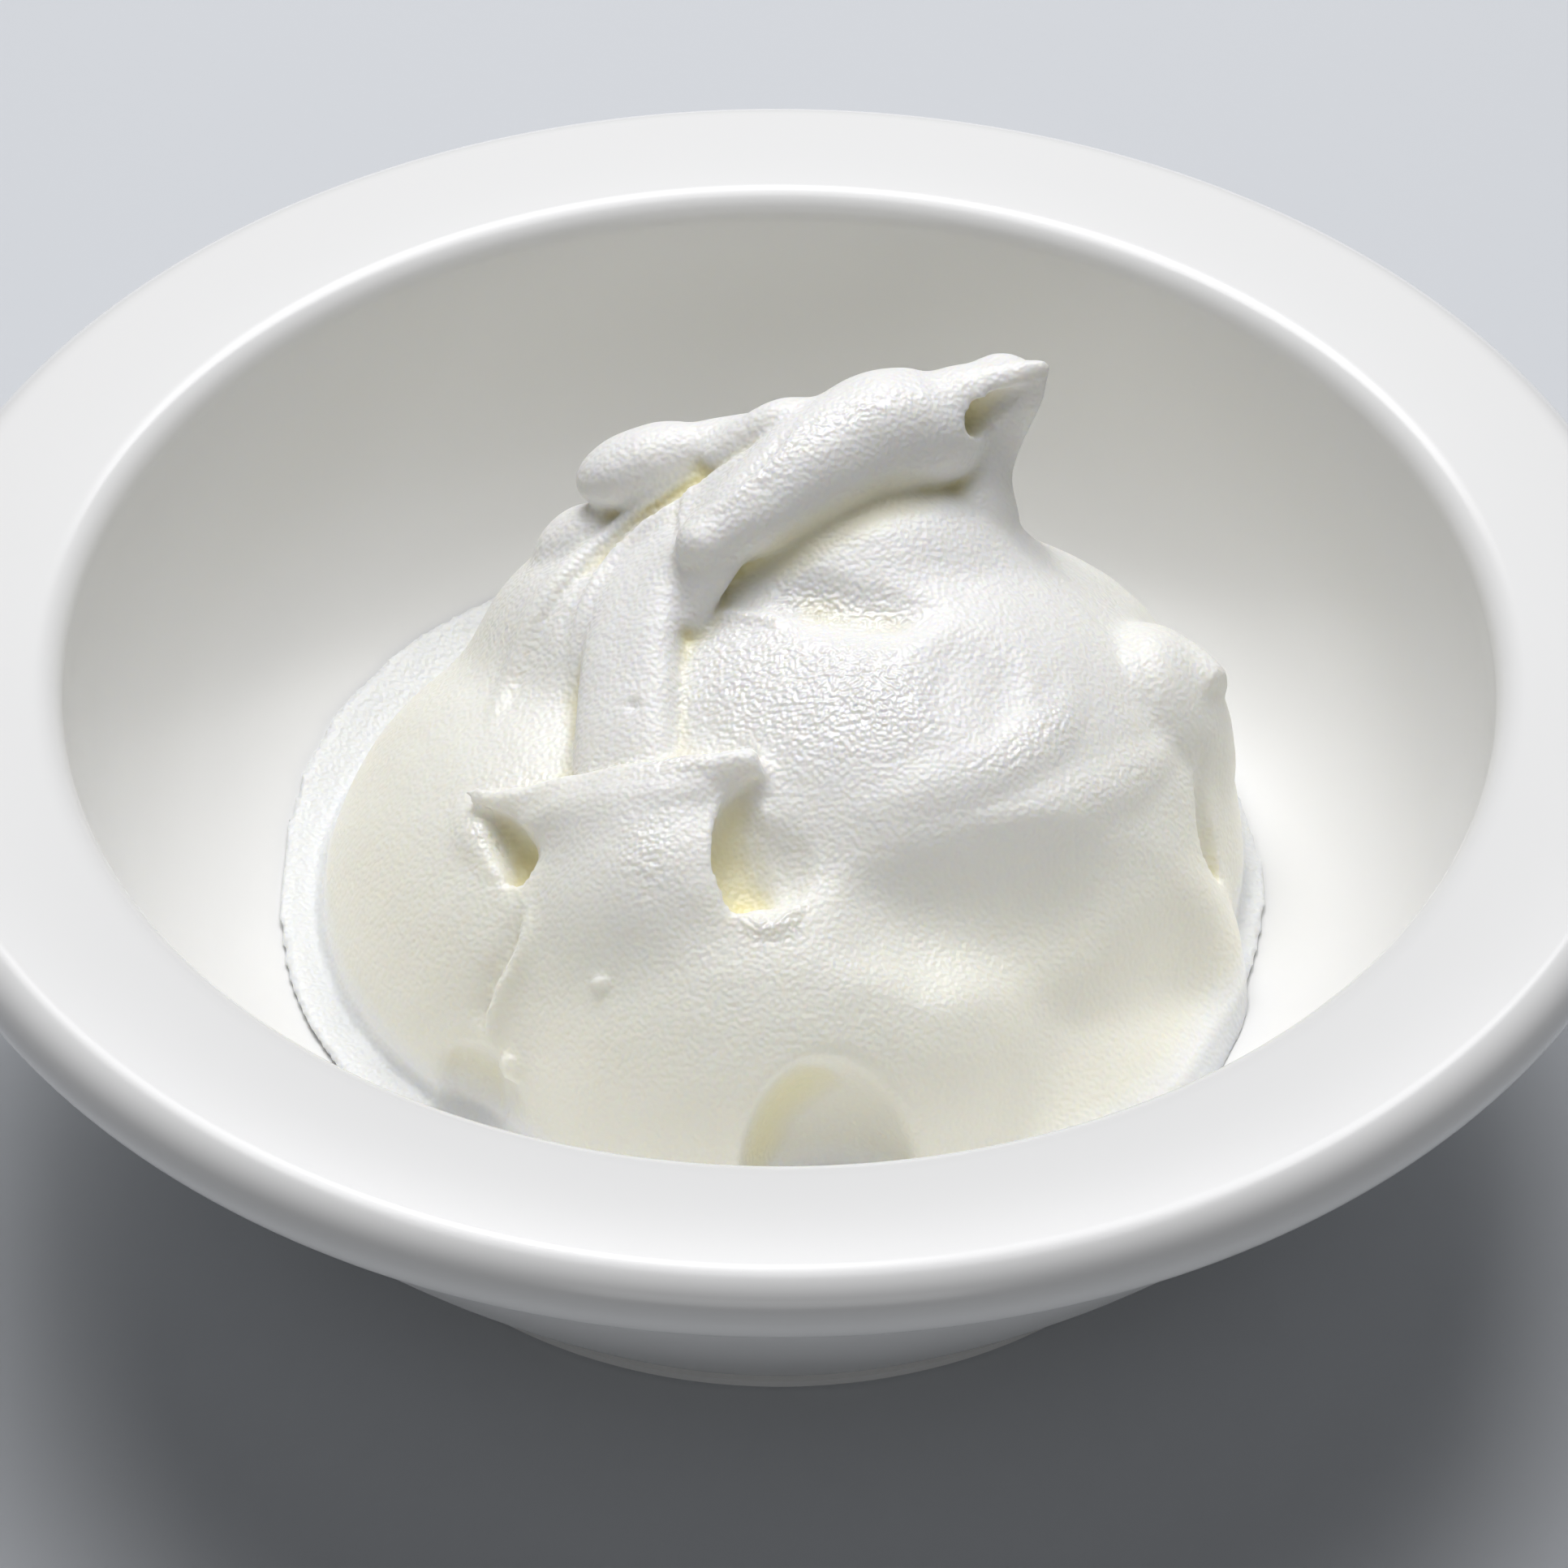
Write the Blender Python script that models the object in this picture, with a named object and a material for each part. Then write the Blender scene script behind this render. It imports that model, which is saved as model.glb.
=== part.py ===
"""A small round porcelain bowl that holds a dollop of sour cream.

The bowl is turned from one outline. The cream is laid up as lobes, rolls and
ribbons, fused into one body, hollowed where the spoon left hollows, stroked
into ridges and grooves, and then pressed onto the bowl's well. Units are
metres, +Z is up, and the origin is the middle of the foot on the surface that
the bowl stands on. The cream's own tables are in millimetres.
"""

import math

import bmesh
import bpy
import numpy as np
from mathutils import Euler, Matrix, Vector

MM = 0.001

# Bowl: driving dimensions
RIM_RADIUS = 65.0 * MM
BOWL_HEIGHT = 42.0 * MM
RIM_EDGE_ROUND = 2.8 * MM
RIM_DISH = 0.55 * MM
WELL_RADIUS = 51.7 * MM
WELL_FLOOR_HEIGHT = 8.0 * MM
WELL_FULLNESS = 2.8
LIP_ROUND = RIM_EDGE_ROUND - RIM_DISH
BODY_TOP_RADIUS = 58.5 * MM
FLARE_RADIUS = 61.0 * MM
FLARE_HEIGHT = 30.5 * MM
FOOT_RADIUS = 36.0 * MM
FOOT_HEIGHT = 1.2 * MM
FOOT_WIDTH = 4.0 * MM
FOOT_GROOVE = 0.6 * MM
FOOT_CHAMFER = 0.3 * MM
BASE_RECESS = 1.6 * MM
BASE_SLOPE = 1.0 * MM
TURNING_STEPS = 64

# Cream: driving dimensions
CREAM_GAP = 0.3 * MM
PRESS_HEIGHT = 45.0 * MM
PRESS_STEPS = 24
PUDDLE_RADIUS = 37.5 * MM
PUDDLE_CENTRE = (-0.9 * MM, 3.4 * MM)
PUDDLE_RISE = 0.5 * MM
PUDDLE_THICKNESS = 1.0 * MM
PUDDLE_FULLNESS = 0.15
PUDDLE_WAVER = 0.3 * MM
MASS_VOXEL = 1.0 * MM
MASS_SMOOTHING = 16
CUTTER_VOXEL = 0.6 * MM
VOXEL = 0.65 * MM
FOLD_SMOOTHING = 2
SOFTENING = 50
# Strokes: path points for each stretch, share of the path over which each end
# fades, width of the tips, and how many vertices a path point is laid onto
STROKE_STEPS = 8
STROKE_END = 0.33
STROKE_TIP = 0.4
SNAP_COUNT = 6
EDGE_WIDTH = 0.4 * MM
CREAM_TRIANGLES = 8600

# Masses of the mound: centre, half sizes (mm), turns about X, Y and Z (degrees)
MASSES = {
    "main dome": ((7.0, 6.5, 13.5), (28.5, 28.0, 25.5), (0, 0, 0)),
    "right back": ((16.0, 14.0, 17.0), (16.0, 15.0, 18.0), (0, 0, 0)),
    "front face": ((0.5, -11.0, 10.5), (23.0, 22.0, 20.5), (0, 0, 0)),
    "left flank": ((-13.5, 2.5, 10.5), (21.4, 25.6, 20.5), (0, 0, 0)),
    "shoulder": ((-10.0, 14.0, 18.0), (15.0, 16.0, 19.0), (0, 0, 0)),
    "crest": ((-1.0, 18.5, 28.0), (16.0, 9.0, 14.0), (0, 0, 18)),
    "lower right": ((15.5, -9.5, 6.5), (21.0, 21.5, 13.5), (0, 0, -20)),
    "apron": ((-6.5, -9.0, 17.0), (14.0, 14.0, 17.5), (0, 0, 0)),
    "under the curl": ((7.0, 14.5, 31.0), (13.5, 9.5, 10.5), (0, 0, 20)),
}
MASS_ROLLS = {
    "right ridge": (
        ((27.6, -5.4, 24.6, 1.6), (29.6, -5.6, 20.5, 3.0), (31.2, -6.2, 16.0, 3.6), (31.6, -10.0, 12.5, 3.4),
         (29.0, -17.0, 11.5, 3.0)),
        1.0, 0.0,
    ),
}

# Folds that lie on the masses
LOBES = {
    "right wing": ((27.0, 8.0, 20.5), (7.5, 9.0, 13.0), (0, 0, 0)),
    "curl end": ((-5.5, 10.2, 41.0), (2.3, 2.3, 2.3), (0, 0, 0)),
    "hood back": ((16.4, 24.2, 44.6), (3.2, 1.5, 3.4), (0, 12, 0)),
    "knob": ((-10.2, 20.5, 40.2), (5.4, 3.1, 2.7), (0, -18, 10)),
    "shoulder fold": ((-14.6, 18.6, 33.0), (4.6, 3.6, 3.6), (0, -40, 0)),
}

RIBBON_TILT = 25.0
LIP_TILT = 60.0

# Rolls and ribbons: points along the middle and the half width there (mm),
# thickness as a share of the width, and tilt (degrees)
ROLLS = {
    "wing peak": (((26.8, 11.4, 28.4, 3.2), (29.8, 8.8, 29.2, 3.0), (32.4, 6.8, 29.2, 2.1)), 1.0, 0.0),
    "curl": (
        ((-5.5, 10.2, 41.0, 2.2), (-2.5, 12.6, 41.7, 3.2), (2.7, 17.0, 42.6, 4.4),
         (7.6, 20.4, 43.1, 5.0), (11.6, 21.4, 43.6, 4.5), (14.4, 22.3, 45.2, 2.9),
         (17.2, 22.6, 46.9, 1.5), (20.0, 22.8, 48.2, 0.45)),
        1.0, 0.0,
    ),
    "stem": (
        ((19.6, 22.7, 47.7, 0.6), (18.2, 22.6, 45.2, 1.5), (16.7, 22.2, 42.2, 1.7),
         (15.4, 20.8, 39.8, 2.0), (14.6, 19.0, 37.0, 3.4), (14.2, 17.4, 34.0, 4.4)),
        1.0, 0.0,
    ),
    "crest fold": (
        ((-9.0, 20.8, 39.8, 2.6), (-4.5, 21.2, 41.2, 2.3), (0.4, 21.0, 42.4, 2.2)),
        1.0, 0.0,
    ),
    "back fold": (
        ((-5.2, 18.6, 41.6, 1.2), (-2.6, 19.6, 43.4, 1.5), (0.0, 20.2, 44.7, 1.6), (2.6, 20.6, 44.6, 1.6)),
        1.0, 0.0,
    ),
    "ribbon": (
        ((0.8, 19.0, 44.6, 1.2), (-2.8, 16.8, 42.8, 2.0), (-6.2, 14.0, 40.0, 2.6),
         (-9.2, 11.0, 37.6, 3.2), (-10.8, 6.5, 35.6, 3.8), (-11.2, 1.5, 33.8, 4.0),
         (-11.2, -3.5, 32.0, 4.0), (-11.0, -8.5, 29.5, 3.8)),
        0.42, RIBBON_TILT,
    ),
    "under the lip": (
        ((-18.6, -6.6, 28.6, 1.6), (-15.4, -7.2, 29.4, 2.8), (-11.4, -8.2, 31.0, 3.1),
         (-7.4, -8.6, 32.6, 2.8), (-4.6, -8.4, 33.6, 2.0)),
        1.0, 0.0,
    ),
    "lip": (
        ((-23.0, -4.2, 29.6, 0.4), (-19.6, -6.0, 29.4, 1.7), (-15.0, -7.0, 30.6, 2.4),
         (-10.8, -8.0, 32.2, 2.8), (-6.0, -8.4, 33.8, 2.6), (-1.2, -7.8, 35.4, 1.7)),
        0.42, LIP_TILT,
    ),
}

# Hollows that the spoon left: lobes and rolls that are taken away
HOLLOW_LOBES = {
    "front hollow": ((3.9, -33.2, 16.5), (6.8, 9.0, 12.4), (0, -8, 0)),
    "corner hollow": ((-23.2, -22.2, 15.8), (4.6, 4.4, 4.6), (0, 0, 0)),
    "teardrop side": ((-0.5, -14.0, 32.4), (3.8, 3.9, 2.3), (42, 0, 0)),
}
HOLLOW_ROLLS = {
    "hood": (
        ((13.2, 19.6, 44.6, 1.0), (14.6, 20.6, 45.0, 1.9), (16.4, 21.2, 45.9, 1.3), (18.4, 21.8, 47.0, 0.4)),
        1.0, 0.0,
    ),
    "teardrop": (
        ((-1.4, -8.6, 35.2, 0.7), (-2.8, -10.8, 33.2, 1.6), (-3.0, -13.4, 31.4, 2.3),
         (-2.0, -15.8, 30.0, 2.2), (-1.4, -16.8, 29.9, 1.6)),
        1.0, 0.0,
    ),
    "pocket": (
        ((-21.9, -5.4, 28.9, 0.6), (-20.2, -7.4, 28.3, 1.7), (-18.9, -9.2, 27.3, 1.8),
         (-18.4, -10.8, 26.0, 1.0)),
        1.0, 0.0,
    ),
    "undercut": (
        ((-18.8, -11.4, 25.4, 0.8), (-19.1, -13.5, 23.9, 1.2), (-19.9, -15.2, 22.3, 1.1),
         (-21.0, -16.5, 20.6, 0.4)),
        1.0, 0.0,
    ),
    "wing recess": (
        ((31.9, 3.0, 28.0, 0.8), (31.9, 0.2, 25.4, 1.3), (31.8, -2.0, 22.6, 1.3), (32.2, -3.4, 19.6, 0.8)),
        1.0, 0.0,
    ),
}

# Where folds and hollows blend softly into the mound: points and half width (mm)
SOFTENED = {
    "under the lip": (
        ((-18.2, -8.6, 28.6), (-15.0, -9.8, 29.6), (-11.2, -11.0, 31.0), (-6.5, -11.4, 32.4)),
        3.4,
    ),
    "teardrop side": (
        ((2.6, -16.0, 30.6), (2.2, -13.4, 31.6), (1.0, -11.0, 32.8), (-0.2, -9.0, 34.2)),
        2.2,
    ),
    "front hollow": (
        ((3.4, -26.4, 23.6), (6.0, -26.6, 21.5), (8.4, -27.6, 18.5), (10.4, -29.0, 15.0)),
        5.0,
    ),
    "plate end": (((8.0, -12.6, 32.0), (12.0, -12.8, 31.4), (16.0, -12.6, 30.4)), 4.5),
}

ROUND = "round"
CREASE = "crease"
STEP = "step"

# Strokes on the fused body: points (mm), half width and height (mm), and cross-section.
# A step stands higher on the left of its path than on the right.
STROKES = {
    "ribbon edge": (
        ((1.0, 19.4, 45.4), (-2.2, 17.6, 44.0), (-6.0, 17.0, 41.2), (-9.1, 15.9, 39.5),
         (-12.0, 15.1, 37.4), (-14.6, 10.8, 35.4), (-15.6, 5.9, 32.5), (-15.5, -1.5, 29.7)),
        2.2, 0.4, STEP,
    ),
    "strip edge": (
        ((-3.2, 18.6, 42.6), (-8.6, 17.6, 39.6), (-12.6, 16.4, 37.0), (-15.8, 14.0, 35.0),
         (-18.4, 10.8, 32.4), (-20.0, 8.0, 30.6), (-20.9, 4.8, 28.9), (-20.9, 1.0, 28.4)),
        1.6, 0.5, ROUND,
    ),
    "curl edge": (
        ((1.6, 18.3, 46.6), (1.0, 16.7, 46.5), (-0.9, 14.0, 45.6), (-3.8, 11.9, 44.0),
         (-6.2, 11.4, 42.0), (-7.2, 10.2, 41.3)),
        1.6, 0.35, STEP,
    ),
    "flap edge": (
        ((-3.0, 17.8, 43.6), (-6.3, 17.4, 41.0), (-7.3, 15.9, 40.5), (-7.6, 13.5, 40.3), (-7.5, 9.9, 41.1)),
        1.6, 0.3, STEP,
    ),
    "spoon dent": (
        ((-1.6, 7.8, 38.2), (1.8, 6.6, 38.4), (5.5, 5.2, 38.2), (9.2, 5.1, 38.2), (13.4, 6.6, 38.8)),
        3.2, -1.5, ROUND,
    ),
    "dent crease": (
        ((-5.4, 7.6, 36.6), (-3.3, 6.7, 37.2), (-0.4, 5.2, 37.8), (3.0, 4.0, 37.6)),
        1.1, 0.45, CREASE,
    ),
    "plate valley": (((9.0, 0.6, 37.4), (14.2, -0.5, 36.4), (18.6, -1.4, 35.4)), 5.5, -0.55, ROUND),
    "plate edge": (
        ((21.8, 3.8, 35.2), (21.4, -0.4, 35.0), (19.0, -4.2, 34.9), (16.4, -6.6, 34.9),
         (12.9, -8.3, 34.9), (8.8, -10.0, 34.3), (3.5, -10.9, 33.1)),
        3.0, 0.4, ROUND,
    ),
    "right fold": (
        ((30.6, 3.4, 28.8), (27.8, -1.3, 30.2), (25.0, -4.7, 31.0), (22.2, -7.1, 31.6),
         (18.0, -9.2, 32.2), (12.0, -11.0, 32.4)),
        3.0, 0.55, ROUND,
    ),
    "face hollow": (
        ((2.0, -20.0, 28.0), (8.0, -17.6, 28.4), (13.8, -15.6, 28.4), (20.5, -12.6, 27.2),
         (28.5, -7.0, 25.6)),
        7.0, -1.4, ROUND,
    ),
    "face swell": (
        ((5.9, -24.0, 24.0), (14.1, -21.6, 22.0), (21.9, -17.0, 19.5), (29.5, -11.0, 17.5)),
        7.0, 0.6, ROUND,
    ),
    "pocket rim": (
        ((-23.6, -2.4, 27.6), (-22.2, -6.4, 27.0), (-20.8, -9.0, 25.6), (-19.8, -11.5, 24.6)),
        2.2, 0.5, ROUND,
    ),
    "front fold": (
        ((-17.8, -11.0, 26.0), (-18.0, -13.3, 24.6), (-19.0, -15.1, 22.8), (-20.2, -16.4, 20.8),
         (-20.8, -17.6, 19.2), (-20.8, -19.0, 18.0)),
        2.4, 0.8, STEP,
    ),
    "teardrop rim": (
        ((-3.4, -17.2, 29.4), (-1.2, -18.4, 29.4), (0.6, -18.0, 29.8), (2.2, -15.6, 30.8)),
        1.0, 0.35, ROUND,
    ),
    "corner blob": (((-20.6, -20.4, 18.6), (-19.5, -20.8, 17.4), (-19.0, -21.0, 16.2)), 1.3, 0.8, ROUND),
}


def clear_scene():
    """Remove whatever the file starts with."""
    for obj in list(bpy.data.objects):
        bpy.data.objects.remove(obj, do_unlink=True)


def make_material(name, colour, roughness, subsurface=0.0):
    """A Principled material with one colour."""
    material = bpy.data.materials.new(name)
    material.use_nodes = True
    shader = material.node_tree.nodes["Principled BSDF"]
    shader.inputs["Base Color"].default_value = (*colour, 1.0)
    shader.inputs["Roughness"].default_value = roughness
    shader.inputs["Metallic"].default_value = 0.0
    shader.inputs["Subsurface Weight"].default_value = subsurface
    return material


def new_object(name, mesh):
    """Link a mesh to the scene as a named object."""
    obj = bpy.data.objects.new(name, mesh)
    bpy.context.scene.collection.objects.link(obj)
    return obj


def arc(centre_r, centre_z, radius, start, end, steps):
    """Points of an arc in the turning plane, angles in degrees."""
    points = []
    for i in range(steps + 1):
        angle = math.radians(start + (end - start) * i / steps)
        points.append((centre_r + radius * math.cos(angle), centre_z + radius * math.sin(angle)))
    return points


def well_height(r):
    """Height of the well's surface at a distance from the axis."""
    share = min(abs(r) / WELL_RADIUS, 1.0)
    wall_top = BOWL_HEIGHT - RIM_EDGE_ROUND
    fall = 1.0 - (1.0 - share ** WELL_FULLNESS) ** (1.0 / WELL_FULLNESS)
    return WELL_FLOOR_HEIGHT + (wall_top - WELL_FLOOR_HEIGHT) * fall


def well_points(steps):
    """The well from the middle of its floor to the top of its wall."""
    points = []
    for i in range(steps):
        angle = 0.5 * math.pi * i / steps
        r = WELL_RADIUS * math.sin(angle) ** (2.0 / WELL_FULLNESS)
        points.append((r, well_height(r)))
    return points


def body_points(steps):
    """The outer body from under the rim down to the foot, one quadratic curve."""
    top = Vector((BODY_TOP_RADIUS, BOWL_HEIGHT - 2.0 * RIM_EDGE_ROUND))
    flare = Vector((FLARE_RADIUS, FLARE_HEIGHT))
    toe = Vector((FOOT_RADIUS + FOOT_CHAMFER, FOOT_HEIGHT + FOOT_GROOVE))
    points = []
    for i in range(steps + 1):
        t = i / steps
        point = top * (1 - t) ** 2 + flare * 2 * t * (1 - t) + toe * t * t
        points.append((point.x, point.y))
    return points


def bowl_outline():
    """The turned outline from the well's middle, over the rim, down to the foot."""
    edge_r = RIM_RADIUS - RIM_EDGE_ROUND
    edge_z = BOWL_HEIGHT - RIM_EDGE_ROUND
    lip_r = WELL_RADIUS + LIP_ROUND
    points = well_points(11)
    points += arc(lip_r, edge_z, LIP_ROUND, 180, 92, 4)
    points += arc(edge_r, edge_z, RIM_EDGE_ROUND, 92, -90, 8)
    points += body_points(8)
    points.append((FOOT_RADIUS - FOOT_GROOVE, FOOT_HEIGHT))
    points.append((FOOT_RADIUS, FOOT_HEIGHT - FOOT_CHAMFER))
    points.append((FOOT_RADIUS, FOOT_CHAMFER))
    points.append((FOOT_RADIUS - FOOT_CHAMFER, 0.0))
    points.append((FOOT_RADIUS - FOOT_WIDTH, 0.0))
    points.append((FOOT_RADIUS - FOOT_WIDTH - BASE_SLOPE, BASE_RECESS))
    points.append((0.0, BASE_RECESS))
    return points


def make_bowl(material):
    """Turn the outline about the axis with a Screw modifier."""
    mesh = bpy.data.meshes.new("bowl")
    points = [(r, 0.0, z) for r, z in bowl_outline()]
    edges = [(i, i + 1) for i in range(len(points) - 1)]
    mesh.from_pydata(points, edges, [])
    mesh.materials.append(material)
    obj = new_object("bowl", mesh)
    screw = obj.modifiers.new("turn", "SCREW")
    screw.steps = TURNING_STEPS
    screw.render_steps = TURNING_STEPS
    screw.use_merge_vertices = True
    screw.merge_threshold = 0.00001
    screw.use_smooth_shade = True
    return obj


def turned(degrees):
    """A rotation from turns about X, Y and Z in degrees."""
    return Euler([math.radians(a) for a in degrees]).to_matrix()


def lobe_mesh(centre, half, turns):
    """A rounded lump: a ball stretched to its half sizes."""
    bm = bmesh.new()
    place = Matrix.Translation(Vector(centre) * MM) @ turned(turns).to_4x4()
    size = Matrix.Diagonal((*[h * MM for h in half], 1.0))
    bmesh.ops.create_icosphere(bm, subdivisions=4, radius=1.0, matrix=place @ size)
    mesh = bpy.data.meshes.new("lobe")
    bm.to_mesh(mesh)
    bm.free()
    return mesh


def roll_mesh(points, flatness, tilt):
    """A roll or ribbon: an oval drawn along a smooth curve, closed at both ends."""
    oval = bpy.data.curves.new("oval", "CURVE")
    ring = oval.splines.new("POLY")
    ring.points.add(15)
    for i, point in enumerate(ring.points):
        angle = 2 * math.pi * i / 16
        point.co = (math.cos(angle), math.sin(angle) * flatness, 0.0, 1.0)
    ring.use_cyclic_u = True
    profile = new_object("oval", oval)
    curve = bpy.data.curves.new("roll", "CURVE")
    curve.dimensions = "3D"
    curve.twist_mode = "Z_UP"
    curve.bevel_mode = "OBJECT"
    curve.bevel_object = profile
    curve.use_fill_caps = True
    spline = curve.splines.new("BEZIER")
    spline.resolution_u = 8
    spline.bezier_points.add(len(points) - 1)
    for knot, (x, y, z, width) in zip(spline.bezier_points, points):
        knot.co = Vector((x, y, z)) * MM
        knot.radius = width * MM
        knot.tilt = math.radians(tilt)
        knot.handle_left_type = "AUTO"
        knot.handle_right_type = "AUTO"
    obj = new_object("roll", curve)
    mesh = evaluated_mesh(obj)
    bpy.data.objects.remove(obj)
    bpy.data.objects.remove(profile)
    return mesh


def evaluated_mesh(obj):
    """A new mesh of an object with its modifiers applied."""
    graph = bpy.context.evaluated_depsgraph_get()
    graph.update()
    return bpy.data.meshes.new_from_object(obj.evaluated_get(graph))


def puddle_mesh():
    """The thin edge of the cream, lying on the well."""
    bm = bmesh.new()
    bmesh.ops.create_uvsphere(bm, u_segments=96, v_segments=48, radius=1.0)
    for vert in bm.verts:
        spread = math.hypot(vert.co.x, vert.co.y)
        angle = math.atan2(vert.co.y, vert.co.x)
        waver = math.sin(3.0 * angle + 1.0) + 0.6 * math.sin(7.0 * angle + 2.0)
        radius = PUDDLE_RADIUS - PUDDLE_THICKNESS + PUDDLE_WAVER * waver
        reach = radius * spread ** PUDDLE_FULLNESS + PUDDLE_THICKNESS * spread
        x = PUDDLE_CENTRE[0] + reach * math.cos(angle)
        y = PUDDLE_CENTRE[1] + reach * math.sin(angle)
        floor = well_height(math.hypot(x, y))
        vert.co = (x, y, floor + PUDDLE_RISE + PUDDLE_THICKNESS * vert.co.z)
    mesh = bpy.data.meshes.new("puddle")
    bm.to_mesh(mesh)
    bm.free()
    return mesh


def joined(name, meshes):
    """One object that holds several meshes as loose bodies."""
    bm = bmesh.new()
    for mesh in meshes:
        bm.from_mesh(mesh)
        bpy.data.meshes.remove(mesh)
    bmesh.ops.triangulate(bm, faces=[f for f in bm.faces if len(f.verts) > 4])
    mesh = bpy.data.meshes.new(name)
    bm.to_mesh(mesh)
    bm.free()
    return new_object(name, mesh)


def apply_modifiers(obj):
    """Bake the modifiers into the object's mesh."""
    mesh = evaluated_mesh(obj)
    old = obj.data
    obj.modifiers.clear()
    obj.data = mesh
    bpy.data.meshes.remove(old)


def fuse(obj, voxel, smoothing):
    """Fuse overlapping bodies into one skin and soften it."""
    remesh = obj.modifiers.new("fuse", "REMESH")
    remesh.mode = "VOXEL"
    remesh.voxel_size = voxel
    remesh.adaptivity = 0.0
    if smoothing:
        soften = obj.modifiers.new("soften", "SMOOTH")
        soften.factor = 0.5
        soften.iterations = smoothing
    apply_modifiers(obj)


def cut(obj, cutters):
    """Take the cutters out of the body."""
    tool = joined("hollows", cutters)
    fuse(tool, CUTTER_VOXEL, 1)
    tool.hide_render = True
    tool.display_type = "WIRE"
    boolean = obj.modifiers.new("hollows", "BOOLEAN")
    boolean.operation = "DIFFERENCE"
    boolean.solver = "MANIFOLD"
    boolean.object = tool
    apply_modifiers(obj)
    bpy.data.objects.remove(tool)


def clearance(point):
    """How far a point is above the lowest place that the cream may reach."""
    return point.z - well_height(math.hypot(point.x, point.y)) - CREAM_GAP


def press_onto_well(obj):
    """Rest the underside on the well, a hair above it.

    What is sunk in the well slides back towards a point over the bowl's middle, so that no fin is left on the wall.
    """
    middle = Vector((0.0, 0.0, PRESS_HEIGHT))
    for vert in obj.data.vertices:
        if clearance(vert.co) >= 0.0:
            continue
        low, high = 0.0, 1.0
        for _ in range(PRESS_STEPS):
            share = 0.5 * (low + high)
            if clearance(vert.co.lerp(middle, share)) < 0.0:
                low = share
            else:
                high = share
        vert.co = vert.co.lerp(middle, high)


def thin_out(obj, triangles):
    """Bring the body down to its number of triangles."""
    current = sum(len(p.vertices) - 2 for p in obj.data.polygons)
    decimate = obj.modifiers.new("thin out", "DECIMATE")
    decimate.ratio = min(1.0, triangles / current)
    apply_modifiers(obj)


def smooth_path(points, steps):
    """Points of a smooth curve through the given points."""
    pts = np.array(points, float)
    pts = np.vstack([2 * pts[0] - pts[1], pts, 2 * pts[-1] - pts[-2]])
    path = []
    for i in range(1, len(pts) - 2):
        p0, p1, p2, p3 = pts[i - 1:i + 3]
        for t in np.arange(steps) / steps:
            path.append(0.5 * (2 * p1 + (p2 - p0) * t + (2 * p0 - 5 * p1 + 4 * p2 - p3) * t * t
                               + (3 * p1 - p0 - 3 * p2 + p3) * t ** 3))
    path.append(pts[-2])
    return np.array(path)


def read_skin(mesh):
    """Places and normals of a mesh's vertices, one row each."""
    coords = np.empty(len(mesh.vertices) * 3)
    mesh.vertices.foreach_get("co", coords)
    normals = np.empty(len(mesh.vertices) * 3)
    mesh.vertices.foreach_get("normal", normals)
    return coords.reshape(-1, 3), normals.reshape(-1, 3)


def laid_path(points, coords):
    """A smooth path through the points, laid onto the skin below it."""
    path = []
    for spot in smooth_path(points, STROKE_STEPS) * MM:
        gaps = np.linalg.norm(coords - spot, axis=1)
        path.append(coords[np.argpartition(gaps, SNAP_COUNT)[:SNAP_COUNT]].mean(axis=0))
    path = np.array(path)
    for _ in range(STROKE_STEPS // 2):
        path[1:-1] = 0.25 * path[:-2] + 0.5 * path[1:-1] + 0.25 * path[2:]
    return path


def reach(points, half_width, coords, normals):
    """For each vertex: distance from the path as a share of the half width, fade at the ends, and side."""
    path = laid_path(points, coords)
    tangents = np.gradient(path, axis=0)
    spacing = np.linalg.norm(tangents, axis=1)
    tangents /= spacing[:, None]
    best = np.full(len(coords), np.inf)
    along = np.zeros(len(coords))
    side = np.ones(len(coords))
    for i, spot in enumerate(path):
        away = coords - spot
        gap = np.linalg.norm(away, axis=1)
        nearer = gap < best
        best[nearer] = gap[nearer]
        along[nearer] = (i + (away @ tangents[i])[nearer] / spacing[i]) / (len(path) - 1)
        side[nearer] = np.einsum("ij,ij->i", np.cross(tangents[i], away), normals)[nearer]
    ends = np.clip(np.minimum(along, 1.0 - along) / STROKE_END, 0.0, 1.0)
    fade = ends * ends * (3.0 - 2.0 * ends)
    share = np.clip(best / (half_width * MM * (STROKE_TIP + (1.0 - STROKE_TIP) * fade)), 0.0, 1.0)
    return share, fade, np.clip(side / EDGE_WIDTH, -1.0, 1.0)


def stroke(obj, points, half_width, height, profile):
    """Raise or lower the skin along a path, fading out to its sides and ends."""
    coords, normals = read_skin(obj.data)
    share, fade, side = reach(points, half_width, coords, normals)
    if profile == ROUND:
        amount = (1.0 - share ** 2) ** 2
    elif profile == CREASE:
        amount = (1.0 - share) ** 2
    else:
        amount = side * (1.0 - share) ** 2
    coords += normals * (amount * fade * height * MM)[:, None]
    obj.data.vertices.foreach_set("co", coords.ravel())
    obj.data.update()


def soften(obj):
    """Smooth the skin where folds and hollows blend into the mound."""
    coords, normals = read_skin(obj.data)
    group = obj.vertex_groups.new(name="soft")
    for points, half_width in SOFTENED.values():
        share, _, _ = reach(points, half_width, coords, normals)
        for index in np.flatnonzero(share < 1.0):
            group.add([int(index)], float((1.0 - share[index] ** 2) ** 2), "REPLACE")
    smooth = obj.modifiers.new("soften", "SMOOTH")
    smooth.factor = 0.5
    smooth.iterations = SOFTENING
    smooth.vertex_group = group.name
    apply_modifiers(obj)
    obj.vertex_groups.clear()


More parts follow.
